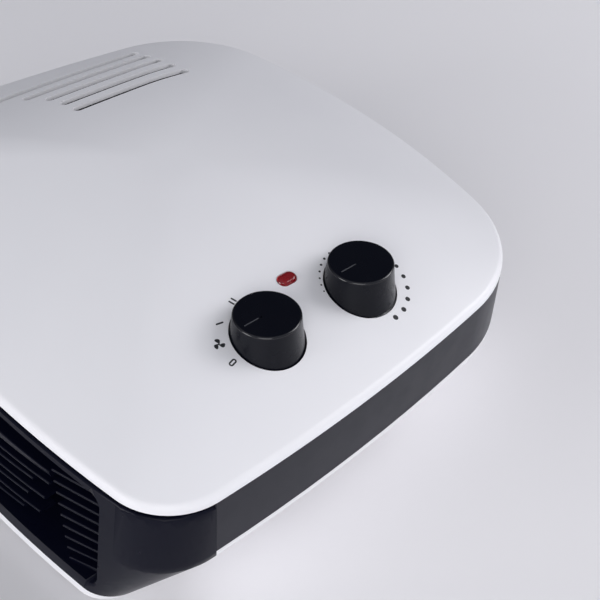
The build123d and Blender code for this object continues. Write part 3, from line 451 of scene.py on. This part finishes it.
def arc_points(centre, start, end, count):
    """Points on an arc from start towards end, the shorter way, without the end point."""
    from_angle = atan2(start.y - centre.y, start.x - centre.x)
    turn = atan2(end.y - centre.y, end.x - centre.x) - from_angle
    turn = (turn + pi) % (2 * pi) - pi
    reach = (start - centre).length
    return [centre + reach * Vector((cos(from_angle + turn * step / count),
                                     sin(from_angle + turn * step / count)))
            for step in range(count)]


def case_outline():
    """Points round the case about its own middle, counter-clockwise from the front's middle."""
    half, depth = BODY_WIDTH / 2, BELT_DEPTH / 2
    front_right = Vector((half - FRONT_TOE, FRONT_BOW - depth))
    back_right = Vector((half - BACK_TOE, depth - BACK_BOW))
    side_middle = Vector((half - MIDDLE_TOE, (front_right.y + back_right.y) / 2))
    front, back = Vector((0, -depth)), Vector((0, depth))
    mirror = Vector((-1, 1))
    front_side = circle_through(front_right * mirror, front, front_right)
    right_side = circle_through(front_right, side_middle, back_right)
    back_side = circle_through(back_right, back, back_right * mirror)
    front_corner = corner_centre(front_side, right_side, FRONT_CORNER, front_right)
    back_corner = corner_centre(right_side, back_side, BACK_CORNER, back_right)

    def touch(side, corner):
        return side[0] + (corner - side[0]).normalized() * side[1]

    a, b = touch(front_side, front_corner), touch(right_side, front_corner)
    c, d = touch(right_side, back_corner), touch(back_side, back_corner)
    right_half = (arc_points(front_side[0], front, a, 20) + arc_points(front_corner, a, b, 16)
                  + arc_points(right_side[0], b, c, 24) + arc_points(back_corner, c, d, 18)
                  + arc_points(back_side[0], d, back, 14) + [back])
    left_half = [point * mirror for point in reversed(right_half[1:-1])]
    return right_half + left_half


outline = case_outline()
print("outline points:", len(outline), "width:", round(max(p.x for p in outline) * 2, 1))

# %% [markdown]
# The outline is raised to the height of the rim, and then extruded inwards ring by ring. Each
# ring is smaller and higher than the last, on a parabola that is steepest at the rim and level
# in the middle. The edge between wall and dome is bevelled to the soft rim of the moulding.

# %% Rings of the dome
BELT_TOP, RIM_Z, APEX_Z, WALL = 82.2, 86.2, 120.3, 2.6
RIM_ROUND, RIM_STEPS = 3.036, 7
DOME_SHARES = (0.97, 0.94, 0.9, 0.85, 0.8, 0.74, 0.68, 0.62, 0.56, 0.5, 0.44, 0.38, 0.32,
               0.26, 0.2, 0.13, 0.06)


def dome_surface(closed):
    """Outer face of the cover, open below or closed to a solid."""
    bm = bmesh.new()
    ring = [bm.verts.new((p.x, p.y + MIDDLE_Y, BELT_TOP)) for p in outline]
    edges = [bm.edges.new((ring[i - 1], ring[i])) for i in range(len(ring))]
    if closed:
        bmesh.ops.contextual_create(bm, geom=edges)
    rim_edges = []
    height, share = BELT_TOP, 1.0
    for next_share in (1.0,) + DOME_SHARES:
        raised = bmesh.ops.extrude_edge_only(bm, edges=edges)["geom"]
        edges = [g for g in raised if isinstance(g, bmesh.types.BMEdge)]
        points = [g for g in raised if isinstance(g, bmesh.types.BMVert)]
        next_height = APEX_Z - (APEX_Z - RIM_Z) * next_share ** 2
        grow = next_share / share
        bmesh.ops.scale(bm, vec=(grow, grow, 1), verts=points,
                        space=Matrix.Translation((0, -MIDDLE_Y, 0)))
        bmesh.ops.translate(bm, vec=(0, 0, next_height - height), verts=points)
        rim_edges = rim_edges or edges
        height, share = next_height, next_share
    bmesh.ops.contextual_create(bm, geom=edges)
    bmesh.ops.bevel(bm, geom=rim_edges, offset=RIM_ROUND, offset_type="OFFSET",
                    affect="EDGES", segments=RIM_STEPS, profile=0.5, material=-1)
    bmesh.ops.recalc_face_normals(bm, faces=bm.faces)
    return bm


print("rings of the dome:", len(DOME_SHARES), "height:", APEX_Z)

# %% [markdown]
# The shell gets its thickness from Solidify, which moves a copy of the surface inwards by the
# wall. The wells, in which the knobs turn, and the screw posts are bars that are first trimmed
# by the dome and then joined to the shell. A post is made of two bars that share a stretch, one
# that ends in the dome and one that reaches down, with a screw hole from below.

# %% Cover with wells and posts
KNOB_X, KNOB_YS = 115.5, (-28.35, 29.35)
HOLE_R, WELL_WALL, WELL_LOW = 19.0, 1.8, 90.5
SCREW_POSTS = ((86, 88), (-86, 88), (108, -84), (-108, -84))
POST_R, POST_LOW, SCREW_R, SCREW_DEPTH = 5.0, 54.0, 1.5, 13.0
SHARED_LOW, SHARED_TOP = BELT_TOP + 2, BELT_TOP + 5


def shell_of(bm, thickness):
    """Gives an open surface its wall, inwards, with the same thickness everywhere."""
    mesh = bpy.data.meshes.new("shell")
    bm.to_mesh(mesh)
    bm.free()
    holder = bpy.data.objects.new("shell", mesh)
    bpy.context.collection.objects.link(holder)
    wall = holder.modifiers.new("wall", "SOLIDIFY")
    wall.thickness, wall.offset, wall.use_even_offset = thickness, -1, True
    bpy.context.view_layer.update()
    shell = bmesh.new()
    evaluated = holder.evaluated_get(bpy.context.evaluated_depsgraph_get())
    shell.from_mesh(evaluated.to_mesh())
    evaluated.to_mesh_clear()
    bpy.data.objects.remove(holder)
    return shell


def under_dome(bar, sink=1.0):
    """Trims an upright bar so that it ends inside the thickness of the cover."""
    limit = dome_surface(closed=True)
    bmesh.ops.translate(limit, vec=(0, 0, -sink), verts=limit.verts)
    return carve(bar, limit, "INTERSECT")


cover = shell_of(dome_surface(closed=False), WALL)
for y in KNOB_YS:
    well = round_bar(KNOB_X, y, WELL_LOW, APEX_Z, HOLE_R + WELL_WALL)
    cover = carve(cover, under_dome(well), "UNION")
for x, y in SCREW_POSTS:
    post = under_dome(round_bar(x, y, SHARED_LOW, APEX_Z, POST_R, 32))
    cover = carve(cover, post, "UNION")
    cover = carve(cover, round_bar(x, y, POST_LOW, SHARED_TOP, POST_R, 32), "UNION")
    screw_hole = round_bar(x, y, POST_LOW - 1, POST_LOW + SCREW_DEPTH, SCREW_R, 16)
    cover = carve(cover, screw_hole, "DIFFERENCE")
print("cover faces with wells and posts:", len(cover.faces))

# %% [markdown]
# The holes are carved last, so that each one passes cleanly through everything. A well narrows
# upwards as its knob does and stands a little down the slope, so that the gap round the knob is
# a fine dark line on the high side and a broader one on the low side. A small hole in its floor
# lets the shaft through. Air comes in through five slots in the left part of the top. Their
# backs end on one line, and their fronts step back along a curve.

# %% Holes of the wells and the air intake
HOLE_TOP_R, HOLE_SHIFT, WELL_FLOOR, SHAFT_HOLE_R = 15.5, 0.35, 92.5, 5.15
SLOT_COUNT, SLOT_X, SLOT_PITCH, SLOT_WIDTH = 5, -129.5, 12.8, 6.4
SLOT_FRONT, SLOT_SWEEP, SLOT_CURVE, SLOT_BACK = -4.0, 26.0, 3.5, 74.0
TOOL_LOW, TOOL_TOP = 84.0, 130.0

for y in KNOB_YS:
    hole = round_bar(KNOB_X + HOLE_SHIFT, y, WELL_FLOOR, TOOL_TOP, HOLE_R, 96, HOLE_TOP_R)
    cover = carve(cover, hole, "DIFFERENCE")
    shaft_hole = round_bar(KNOB_X, y, WELL_LOW - 1, TOOL_TOP, SHAFT_HOLE_R, 32)
    cover = carve(cover, shaft_hole, "DIFFERENCE")
for index in range(SLOT_COUNT):
    front = SLOT_FRONT - SLOT_SWEEP * (1 - index / (SLOT_COUNT - 1)) ** SLOT_CURVE
    slot = slot_bar(SLOT_X + SLOT_PITCH * index, (front + SLOT_BACK) / 2, TOOL_LOW, TOOL_TOP,
                    SLOT_BACK - front, SLOT_WIDTH)
    cover = carve(cover, slot, "DIFFERENCE")
print("cover faces:", len(cover.faces))

# %% [markdown]
# ## The signal lamp
#
# A small red lens fills a slot between the knobs. It follows the slope of the cover, stands
# out by little more than a millimetre and has a soft edge. The same dome that shapes the
# cover tells how high and how steep the place is: a ray is dropped on it.

# %% Lamp lens and its opening
dome_tree = BVHTree.FromBMesh(dome_surface(closed=True))
LAMP_X, LAMP_Y = 96.4, -0.1
LENS_LENGTH, LENS_WIDTH, LENS_RISE = 10.6, 7.0, 1.5
LENS_LOW, LENS_ROUND = -3.2, 2.2
FLANGE_LOW, FLANGE_TOP, FLANGE_EXTRA = -4.5, -3.1, 2.6
LENS_GAP, OPENING_REACH, ABOVE_ALL = 0.15, 6.0, 200.0


def on_dome(x, y):
    """Point of the cover above a place in plan, and the cover's direction there."""
    return dome_tree.ray_cast(Vector((x, y, ABOVE_ALL)), Vector((0, 0, -1)))[:2]


def seat(x, y):
    """Transform from flat ground to the slope of the cover at a place, falling along X."""
    point, normal = on_dome(x, y)
    return Matrix.Translation(point) @ Matrix.Rotation(atan2(normal.x, normal.z), 4, "Y")


lamp_seat = seat(LAMP_X, LAMP_Y)
opening = slot_bar(0, 0, -OPENING_REACH, OPENING_REACH, LENS_LENGTH + 2 * LENS_GAP,
                   LENS_WIDTH + 2 * LENS_GAP)
bmesh.ops.transform(opening, matrix=lamp_seat, verts=opening.verts)
cover = carve(cover, opening, "DIFFERENCE")


def lens():
    """Red lens: a slot-shaped bar with a rounded crown, standing on a flange."""
    bm = slot_bar(0, 0, LENS_LOW, LENS_RISE, LENS_LENGTH, LENS_WIDTH)
    crown = [e for e in bm.edges if all(v.co.z > 0 for v in e.verts)]
    bmesh.ops.bevel(bm, geom=crown, offset=LENS_ROUND, offset_type="OFFSET", affect="EDGES",
                    segments=6, profile=0.5, material=-1)
    flange = slot_bar(0, 0, FLANGE_LOW, FLANGE_TOP, LENS_LENGTH + FLANGE_EXTRA,
                      LENS_WIDTH + FLANGE_EXTRA)
    bm = carve(bm, flange, "UNION")
    bmesh.ops.transform(bm, matrix=lamp_seat, verts=bm.verts)
    return bm


finish(lens(), "lamp_lens_red", red_lens, "case", ("lamp_lens",))
print("lens at:", [round(value, 1) for value in lamp_seat.translation])

# %% [markdown]
# The edges of the openings are not razor sharp on a moulding. The short edges that carving
# left round each hole are merged, and the rim is bevelled by a few tenths of a millimetre.

# %% Soften the rims and finish the cover
EDGE_MERGE, EDGE_BEVEL = 0.3, 0.35
FACING_UP, STEEP = 0.6, 0.3


def outer_rim(bm):
    """Edges where an opening cuts the outer face of the cover."""
    return [e for e in bm.edges if len(e.link_faces) == 2
            and min(v.co.z for v in e.verts) > RIM_Z + 1
            and max(f.normal.z for f in e.link_faces) > FACING_UP
            and min(abs(f.normal.z) for f in e.link_faces) < STEEP]


bmesh.ops.recalc_face_normals(cover, faces=cover.faces)
rim = {v for e in outer_rim(cover) for v in e.verts}
bmesh.ops.remove_doubles(cover, verts=[v for v in cover.verts if v in rim], dist=EDGE_MERGE)
bmesh.ops.bevel(cover, geom=outer_rim(cover), offset=EDGE_BEVEL, offset_type="OFFSET",
                affect="EDGES", segments=2, profile=0.5, material=-1, clamp_overlap=True)
finish(cover, "cover_white", white_abs, "case", ("top_shell",), 40)
print("rim points before merging:", len(rim))

# %% [markdown]
# ## The knobs
#
# Each knob is a turned form: flat on top, a small round at the edge, and a side that flares
# outwards to its foot inside the well. The side is a little hollow, which thins its highlight.
# Under the hollow top a hub with a bore takes the shaft. Half of this section is drawn once.

# %% Section of the knobs
KNOB_TOP, KNOB_LOW, KNOB_TOP_R, KNOB_BASE_R = 116.0, 96.0, 16.0, 18.4
KNOB_EDGE, EDGE_STEPS, EDGE_TURN = 1.1, 6, 14.0
FLANK_HOLLOW, FLANK_STEPS = 0.25, 8
KNOB_WALL, HUB_R, HUB_LOW, BORE_R, BORE_END = 2.0, 5.2, 98.6, 3.05, 1.2


def knob_section():
    """Points of the section from the middle of the top round to the middle of the bore."""
    edge_z = KNOB_TOP - KNOB_EDGE
    edge = []
    for step in range(EDGE_STEPS + 1):
        turn = radians(step * EDGE_TURN)
        edge.append((KNOB_TOP_R - KNOB_EDGE + KNOB_EDGE * sin(turn),
                     KNOB_TOP - KNOB_EDGE * (1 - cos(turn))))
    flank = []
    for step in range(1, FLANK_STEPS + 1):
        share = step / FLANK_STEPS
        hollow = FLANK_HOLLOW * sin(pi * share)
        flank.append((KNOB_TOP_R + (KNOB_BASE_R - KNOB_TOP_R) * share - hollow,
                      edge_z - (edge_z - KNOB_LOW) * share))
    ceiling = KNOB_TOP - KNOB_WALL
    bore_top = ceiling - BORE_END
    inside = [(KNOB_BASE_R - KNOB_WALL, KNOB_LOW), (KNOB_TOP_R - KNOB_WALL, ceiling),
              (HUB_R, ceiling), (HUB_R, HUB_LOW), (BORE_R, HUB_LOW), (BORE_R, bore_top),
              (0, bore_top)]
    return [(0, KNOB_TOP)] + edge + flank + inside


print("points of the knob's section:", len(knob_section()))

# %% [markdown]
# The section is spun round the axis. A narrow groove with sloping sides is cut in the top and
# points to the scale, and the front knob has a small dot in line with it. The slopes of the
# groove carry grey paint. Fingers polish the rounded edge, which gets a lower roughness, and a
# colour lighter than the knob's, which is a painted highlight along the edge.

# %% Spin the knobs
GROOVE_WIDTH, GROOVE_DEPTH, GROOVE_FLOOR = 1.0, 0.45, 0.2
KNOB_STEPS = 96
JUST_BELOW, LEAST_UP, MOST_UP = 0.01, 0.1, 0.99


def knob(y, groove_from, groove_to, dot_at=None):
    """One knob with its pointer groove, and a small dot in line with it if a place is given for
    one.
    """
    bm = bmesh.new()
    points = [bm.verts.new((r, 0, z)) for r, z in knob_section()]
    edges = [bm.edges.new(pair) for pair in zip(points, points[1:])]
    bmesh.ops.spin(bm, geom=points + edges, axis=(0, 0, 1), angle=2 * pi,
                   steps=KNOB_STEPS, use_merge=True)
    bmesh.ops.remove_doubles(bm, verts=bm.verts, dist=0.001)
    bmesh.ops.recalc_face_normals(bm, faces=bm.faces)
    groove = slot_bar(0, -(groove_from + groove_to) / 2, KNOB_TOP - GROOVE_DEPTH, KNOB_TOP + 0.2,
                      groove_to - groove_from, GROOVE_WIDTH)
    bottom = [v for v in groove.verts if v.co.z < KNOB_TOP]
    bmesh.ops.scale(groove, vec=(GROOVE_FLOOR, 1, 1), verts=bottom)
    bm = carve(bm, groove, "DIFFERENCE")
    if dot_at:
        dot = round_bar(0, -dot_at, KNOB_TOP - GROOVE_DEPTH, KNOB_TOP + 1, GROOVE_WIDTH / 2, 16)
        bm = carve(bm, dot, "DIFFERENCE")
    bmesh.ops.translate(bm, vec=(KNOB_X, y, 0), verts=bm.verts)
    return bm


def paint_knob(piece, y):
    """Finishes the rounded edge, whose lighter colour is a painted highlight, and the slopes of
    the groove. Returns how many faces they have.
    """
    piece.data.materials.append(polished_edge_painted_highlight)
    piece.data.materials.append(pointer_paint)
    for face in piece.data.polygons:
        height = face.center.z / MM
        near_top = KNOB_TOP - KNOB_EDGE < height < KNOB_TOP - JUST_BELOW
        if near_top and LEAST_UP < face.normal.z < MOST_UP:
            reach = (face.center.xy / MM - Vector((KNOB_X, y))).length
            # Index 1 is the rounded edge, polished and with a painted highlight; index 2 is the
            # grey paint of the groove.
            face.material_index = 1 if reach > KNOB_TOP_R - KNOB_EDGE else 2
    return sum(face.material_index > 0 for face in piece.data.polygons)


for name, y, pointer in (("function_knob", KNOB_YS[0], (4.6, 13.2, 3.5)),
                         ("thermostat_knob", KNOB_YS[1], (3.0, 12.4))):
    piece = finish(knob(y, *pointer), name + "_black", knob_abs, name, (name,),
                   40)
    print(name, "polished and painted faces:", paint_knob(piece, y))

# %% [markdown]
# ## Printed signs
#
# The scales are pad-printed in dark ink. Round the front knob stand 0, a fan sign, one bar and
# two bars. Round the back knob runs a row of dots that grow clockwise, for more warmth, and so
# do the steps between them. Each sign is a flat face in plan. It is laid on the dome and given
# the thickness of a film of ink.

# %% Dots round the back knob
INK = 0.05
DOT_COUNT, DOT_ARC_R, DOT_ARC_SHIFT = 19, 21.7, (0.8, 2.7)
FIRST_DOT, DOT_GROWTH = 0.82, 0.1
FIRST_ANGLE, FIRST_STEP, STEP_GROWTH = -105.0, 9.6, 0.52


def lay_on_dome(bm):
    """Drops flat faces on the cover and gives them the thickness of ink."""
    for vert in bm.verts:
        vert.co.z = on_dome(vert.co.x, vert.co.y)[0].z + INK
    top = bmesh.ops.extrude_face_region(bm, geom=bm.faces[:])
    sunk = [g for g in top["geom"] if isinstance(g, bmesh.types.BMVert)]
    bmesh.ops.translate(bm, vec=(0, 0, -2 * INK), verts=sunk)
    bmesh.ops.recalc_face_normals(bm, faces=bm.faces)
    return bm


def polar(centre, radius, degrees):
    """Place at an angle round a centre, counted counter-clockwise from +X."""
    return (centre[0] + radius * cos(radians(degrees)), centre[1] + radius * sin(radians(degrees)))


def warmth_dots():
    """Dots that grow clockwise round the back knob."""
    bm = bmesh.new()
    centre = (KNOB_X + DOT_ARC_SHIFT[0], KNOB_YS[1] + DOT_ARC_SHIFT[1])
    angle = FIRST_ANGLE
    for index in range(DOT_COUNT):
        x, y = polar(centre, DOT_ARC_R, angle)
        size = FIRST_DOT + DOT_GROWTH * index
        bmesh.ops.create_circle(bm, cap_ends=True, segments=20, radius=size / 2,
                                matrix=Matrix.Translation((x, y, 0)))
        angle -= FIRST_STEP + STEP_GROWTH * index
    return lay_on_dome(bm)


finish(warmth_dots(), "warmth_dots", printed_ink, "case", ())
print("dots:", DOT_COUNT)

# %% [markdown]
# The figures are drawn from simple shapes. The 0 is a slot-shaped ring. A bar is a narrow
# slot. The fan sign has three vanes: each is a disc that is pinched at the hub, bent a little
# and placed by a third of a turn. Each figure has its own lean towards the knob.

# %% Figures round the front knob
STROKE, BAR_SPACING = 0.85, 2.1
NOUGHT_LENGTH, NOUGHT_WIDTH, NOUGHT_STROKE = 4.4, 2.376, 0.7225
VANE_R, VANE_PLACE, VANE_HUB_R = 1.3, 1.5, 0.42
VANE_STRETCH, VANE_PINCH, VANE_BEND = 1.3, 0.4, 0.25


def place_figure(bm, degrees, radius, turn):
    """Turns a flat figure, puts it at an angle round the front knob and lays it on the dome."""
    x, y = polar((KNOB_X, KNOB_YS[0]), radius, degrees)
    bmesh.ops.transform(bm, verts=bm.verts, matrix=Matrix.Translation((x, y, 0))
                        @ Matrix.Rotation(radians(turn), 4, "Z"))
    return lay_on_dome(bm)


def nought():
    """The figure 0: a slot-shaped ring."""
    bm = bmesh.new()
    stadium(bm, 0, 0, 0, NOUGHT_LENGTH, NOUGHT_WIDTH, 24)
    bm.normal_update()
    bmesh.ops.inset_individual(bm, faces=bm.faces[:], thickness=NOUGHT_STROKE,
                               use_even_offset=True)
    middle = max(bm.faces, key=lambda face: len(face.verts))
    bmesh.ops.delete(bm, geom=[middle], context="FACES")
    return bm


def bars(count, length):
    """One or two bars for the heat settings."""
    bm = bmesh.new()
    for index in range(count):
        stadium(bm, (index - (count - 1) / 2) * BAR_SPACING, 0, 0, length, STROKE, 16)
    return bm


def fan_figure():
    """Three vanes about a small hub, each narrow at the hub and broad at its end."""
    bm = bmesh.new()
    for turn in (0, 120, 240):
        vane = bmesh.ops.create_circle(bm, cap_ends=True, segments=20, radius=VANE_R)["verts"]
        for vert in vane:
            pinch = 1 - VANE_PINCH + VANE_PINCH * vert.co.x / VANE_R
            vert.co.y = vert.co.y * pinch * VANE_STRETCH + VANE_BEND * vert.co.x
        bmesh.ops.transform(bm, verts=vane, matrix=Matrix.Rotation(radians(turn), 4, "Z")
                            @ Matrix.Translation((VANE_PLACE, 0, 0)))
    bmesh.ops.create_circle(bm, cap_ends=True, segments=16, radius=VANE_HUB_R)
    return bm


for name, figure, degrees, radius, turn in (
        ("sign_off", nought(), -80.5, 23.1, 15.0),
        ("sign_fan", fan_figure(), -106.7, 23.3, 41.0),
        ("sign_low_heat", bars(1, 3.9), -135.4, 21.5, -10.0),
        ("sign_high_heat", bars(2, 3.2), -174.0, 22.0, -68.0)):
    figure = place_figure(figure, degrees, radius, turn)
    finish(figure, name, printed_ink, "case", ())
    print(name, "at", degrees, "degrees round the front knob")

# %% [markdown]
# ## The other parts keep their solids
#
# Belt, tray, grille and the inner parts already have the right shape. The first three are
# copied, the points that their triangles share are merged, and flat neighbours are joined, so
# that curved walls shade smoothly. The belt's edges take a small round. The blades of a moulded
# grille have round noses, which catch the light as fine lines, so the long front edges between
# a level face and a forward one are found and bevelled.

# %% Smooth copies
BLADE_LOW, BLADE_TOP, BLADE_LEAST = 18.0, 70.0, 2.0
LEVEL, FORWARD = 0.95, -0.7
BLADE_NOSE, BELT_EDGE = 0.6, 0.3
MERGE_REACH, FLAT_DEGREES = 0.002, 0.5


def blade_noses(bm):
    """Long front edges of the grille's blades, where a level face meets the front."""
    noses = []
    for edge in bm.edges:
        if len(edge.link_faces) != 2 or edge.calc_length() < BLADE_LEAST:
            continue
        if not all(BLADE_LOW < vert.co.z < BLADE_TOP for vert in edge.verts):
            continue
        level, front = sorted((face.normal for face in edge.link_faces),
                              key=lambda normal: -abs(normal.z))
        if abs(level.z) > LEVEL and front.y < FORWARD:
            noses.append(edge)
    return noses


def smooth_copy(node, name, material, edge_mm=0.0, nose_mm=0.0):
    """Copy of a solid with merged corners, smooth shading and, if asked for, rounded edges."""
    bm = bmesh.new()
    bm.from_mesh(frame["nodes"][node].data)
    bmesh.ops.remove_doubles(bm, verts=bm.verts, dist=MERGE_REACH * MM)
    bmesh.ops.dissolve_limit(bm, angle_limit=radians(FLAT_DEGREES), verts=bm.verts,
                             edges=bm.edges)
    bmesh.ops.scale(bm, vec=(1 / MM,) * 3, verts=bm.verts)
    if nose_mm:
        noses = blade_noses(bm)
        print(name, "rounded noses:", len(noses))
        bmesh.ops.bevel(bm, geom=noses, offset=nose_mm, offset_type="OFFSET", affect="EDGES",
                        segments=3, profile=0.5, material=-1)
    print(name, "faces:", len(bm.faces))
    piece = finish(bm, name, material, frame["nodes"][node]["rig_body"], (node,))
    if edge_mm:
        edge = piece.modifiers.new("edge_round", "BEVEL")
        edge.width, edge.segments, edge.limit_method = edge_mm * MM, 2, "ANGLE"
        edge.angle_limit = radians(CRISP_DEGREES)
        edge.use_clamp_overlap = True
        piece.modifiers.move(len(piece.modifiers) - 1, 0)


smooth_copy("side_belt", "side_belt_charcoal", charcoal_abs,
            edge_mm=BELT_EDGE)
smooth_copy("bottom_tray", "bottom_tray_white", white_abs)
smooth_copy("front_grille", "front_grille_black", black_nylon,
            nose_mm=BLADE_NOSE)

# %% [markdown]
# The other parts keep their own mesh and only get their finish. Most of them are hidden in the
# case, but the heating block shows behind the grille and the screen under the air intake.

# %% Finishes of the other parts
FINISHES = {
    black_nylon: ("intake_screen", "cord_gland", "gland_nut", "function_switch",
                  "lamp_holder", "heater_frame", "thermal_cutout", "fan_wheel"),
    grey_plastic: ("air_duct", "scroll_housing", "scroll_cover"),
    cream_plastic: ("terminal_block",),
    steatite: ("thermostat_body", "ceramic_stones"),
    aluminium: ("heater_fins", "heating_tubes"),
    zinc_steel: ("function_shaft", "thermostat_shaft", "control_screws", "heater_terminals",
                 "thermal_fuse", "motor_shaft", "motor_bridges", "motor_screws", "case_screws"),
    brass: ("switch_tabs", "thermostat_leaves", "thermostat_tabs", "terminal_screws"),
    rotor_steel: ("motor_rotor",),
    lamination: ("motor_core",),
    enamelled_wire: ("motor_coil",),
    rubber: ("rubber_feet", "motor_grommets"),
    neon_glass: ("neon_lamp",),
}
for material, nodes in FINISHES.items():
    for node in nodes:
        mesh = frame["nodes"][node].data
        mesh.materials.clear()
        mesh.materials.append(material)
print("finished nodes:", sum(len(nodes) for nodes in FINISHES.values()))

# %% [markdown]
# ## Floor and light
#
# The heater stands on a pale, matt floor with faint clouds of tone, as painted board has. It
# reaches three metres to each side, so that its ends lie outside most views.

# %% Floor
FLOOR_REACH, FLOOR_CLOUD_MM = 3.0, 400
floor_material, floor_tree, floor_place = blank_material("pale_floor")
floor_cloud = add(floor_tree, "ShaderNodeTexNoise", {
    "Vector": (floor_place, "Object"), "Scale": per_metre(FLOOR_CLOUD_MM), "Detail": 2.0})
floor_tint = add(floor_tree, "ShaderNodeMix", {
    0: (floor_cloud, "Fac"), 6: srgb("#F2F1F2"), 7: srgb("#EFEEF0")}, data_type="RGBA")
floor_shader = add(floor_tree, "ShaderNodeBsdfPrincipled", {
    "Base Color": (floor_tint, 2), "Roughness": 0.7, "Specular IOR Level": 0.15})
output(floor_tree, floor_shader)
bm = bmesh.new()
bmesh.ops.create_grid(bm, x_segments=1, y_segments=1, size=FLOOR_REACH)
floor_mesh = bpy.data.meshes.new("floor")
bm.to_mesh(floor_mesh)
bm.free()
floor = bpy.data.objects.new("floor", floor_mesh)
floor.data.materials.append(floor_material)
bpy.context.collection.objects.link(floor)
print("floor:", 2 * FLOOR_REACH, "m wide")

# %% [markdown]
# One broad soft light stands at the right front corner and a low one in front, so that the rim
# next to the camera is the brightest part of the cover. Two more, behind on the right, keep the
# back of the dome and the floor light. The spread of a light is the angle that it shines into:
# a narrow one, as a grid in front of a studio lamp gives, keeps the low front light off the floor.

# %% Light
def soft_light(name, place, target, size, power, colour, spread=180):
    """Square area light that faces a point and shines into a spread of so many degrees."""
    data = bpy.data.lights.new(name, "AREA")
    data.shape, data.size, data.energy = "SQUARE", size, power
    data.color = srgb(colour)[:3]
    data.spread = radians(spread)
    lamp = bpy.data.objects.new(name, data)
    lamp.location = place
    lamp.rotation_euler = (Vector(target) - Vector(place)).to_track_quat("-Z", "Y").to_euler()
    bpy.context.collection.objects.link(lamp)
    print(name, power, "W, spread", spread, "degrees")


soft_light("corner_light", (1.3, -1.2, 0.9), (0.05, 0, 0.1), 1.2, 11.3, "#FFFDFD")
soft_light("front_light", (-0.2, -1.9, 0.5), (0.05, 0, 0.1), 0.8, 2.6, "#FEFDFF", 80)
soft_light("back_light", (0.9, 1.6, 1.2), (0.2, 0.2, 0.1), 1.4, 18.5, "#FCFBFF")
soft_light("floor_light", (1.3, 2.0, 0.9), (0.5, 0.7, 0), 1.0, 3.6, "#FCFBFF", 100)

# %% [markdown]
# The room's own light isn't even: the wall behind the camera and to its right is pale, and the
# far left of the room is dim. That dark side is what the flat tops of the knobs mirror, so they
# look nearly black while their flanks, which mirror the cover, look grey. The background takes
# the direction of a ray, measures how far it points to the bright side, and mixes two colours.

# %% Room
BRIGHT_SIDE = (0.65, -0.6, 0.47)
DIM_FACING, BRIGHT_FACING = -0.25, 0.45
DIM_COLOUR, BRIGHT_COLOUR = srgb("#5C5E65"), srgb("#BEC0C8")
ROOM_STRENGTH = 0.78

world = bpy.data.worlds.new("room")
world.use_nodes = True
room = world.node_tree
room.nodes.clear()
direction = add(room, "ShaderNodeTexCoord")
facing = add(room, "ShaderNodeVectorMath", {
    0: (direction, "Generated"), 1: BRIGHT_SIDE}, operation="DOT_PRODUCT")
side = add(room, "ShaderNodeMapRange", {
    "Value": (facing, "Value"), "From Min": DIM_FACING, "From Max": BRIGHT_FACING})
room_colour = add(room, "ShaderNodeMix", {
    0: (side, "Result"), 6: DIM_COLOUR, 7: BRIGHT_COLOUR}, data_type="RGBA")
background = add(room, "ShaderNodeBackground", {
    "Color": (room_colour, 2), "Strength": ROOM_STRENGTH})
add(room, "ShaderNodeOutputWorld", {"Surface": (background, "Background")})
bpy.context.scene.world = world
bpy.context.scene.view_settings.view_transform = "Standard"
print("room nodes:", len(room.nodes))
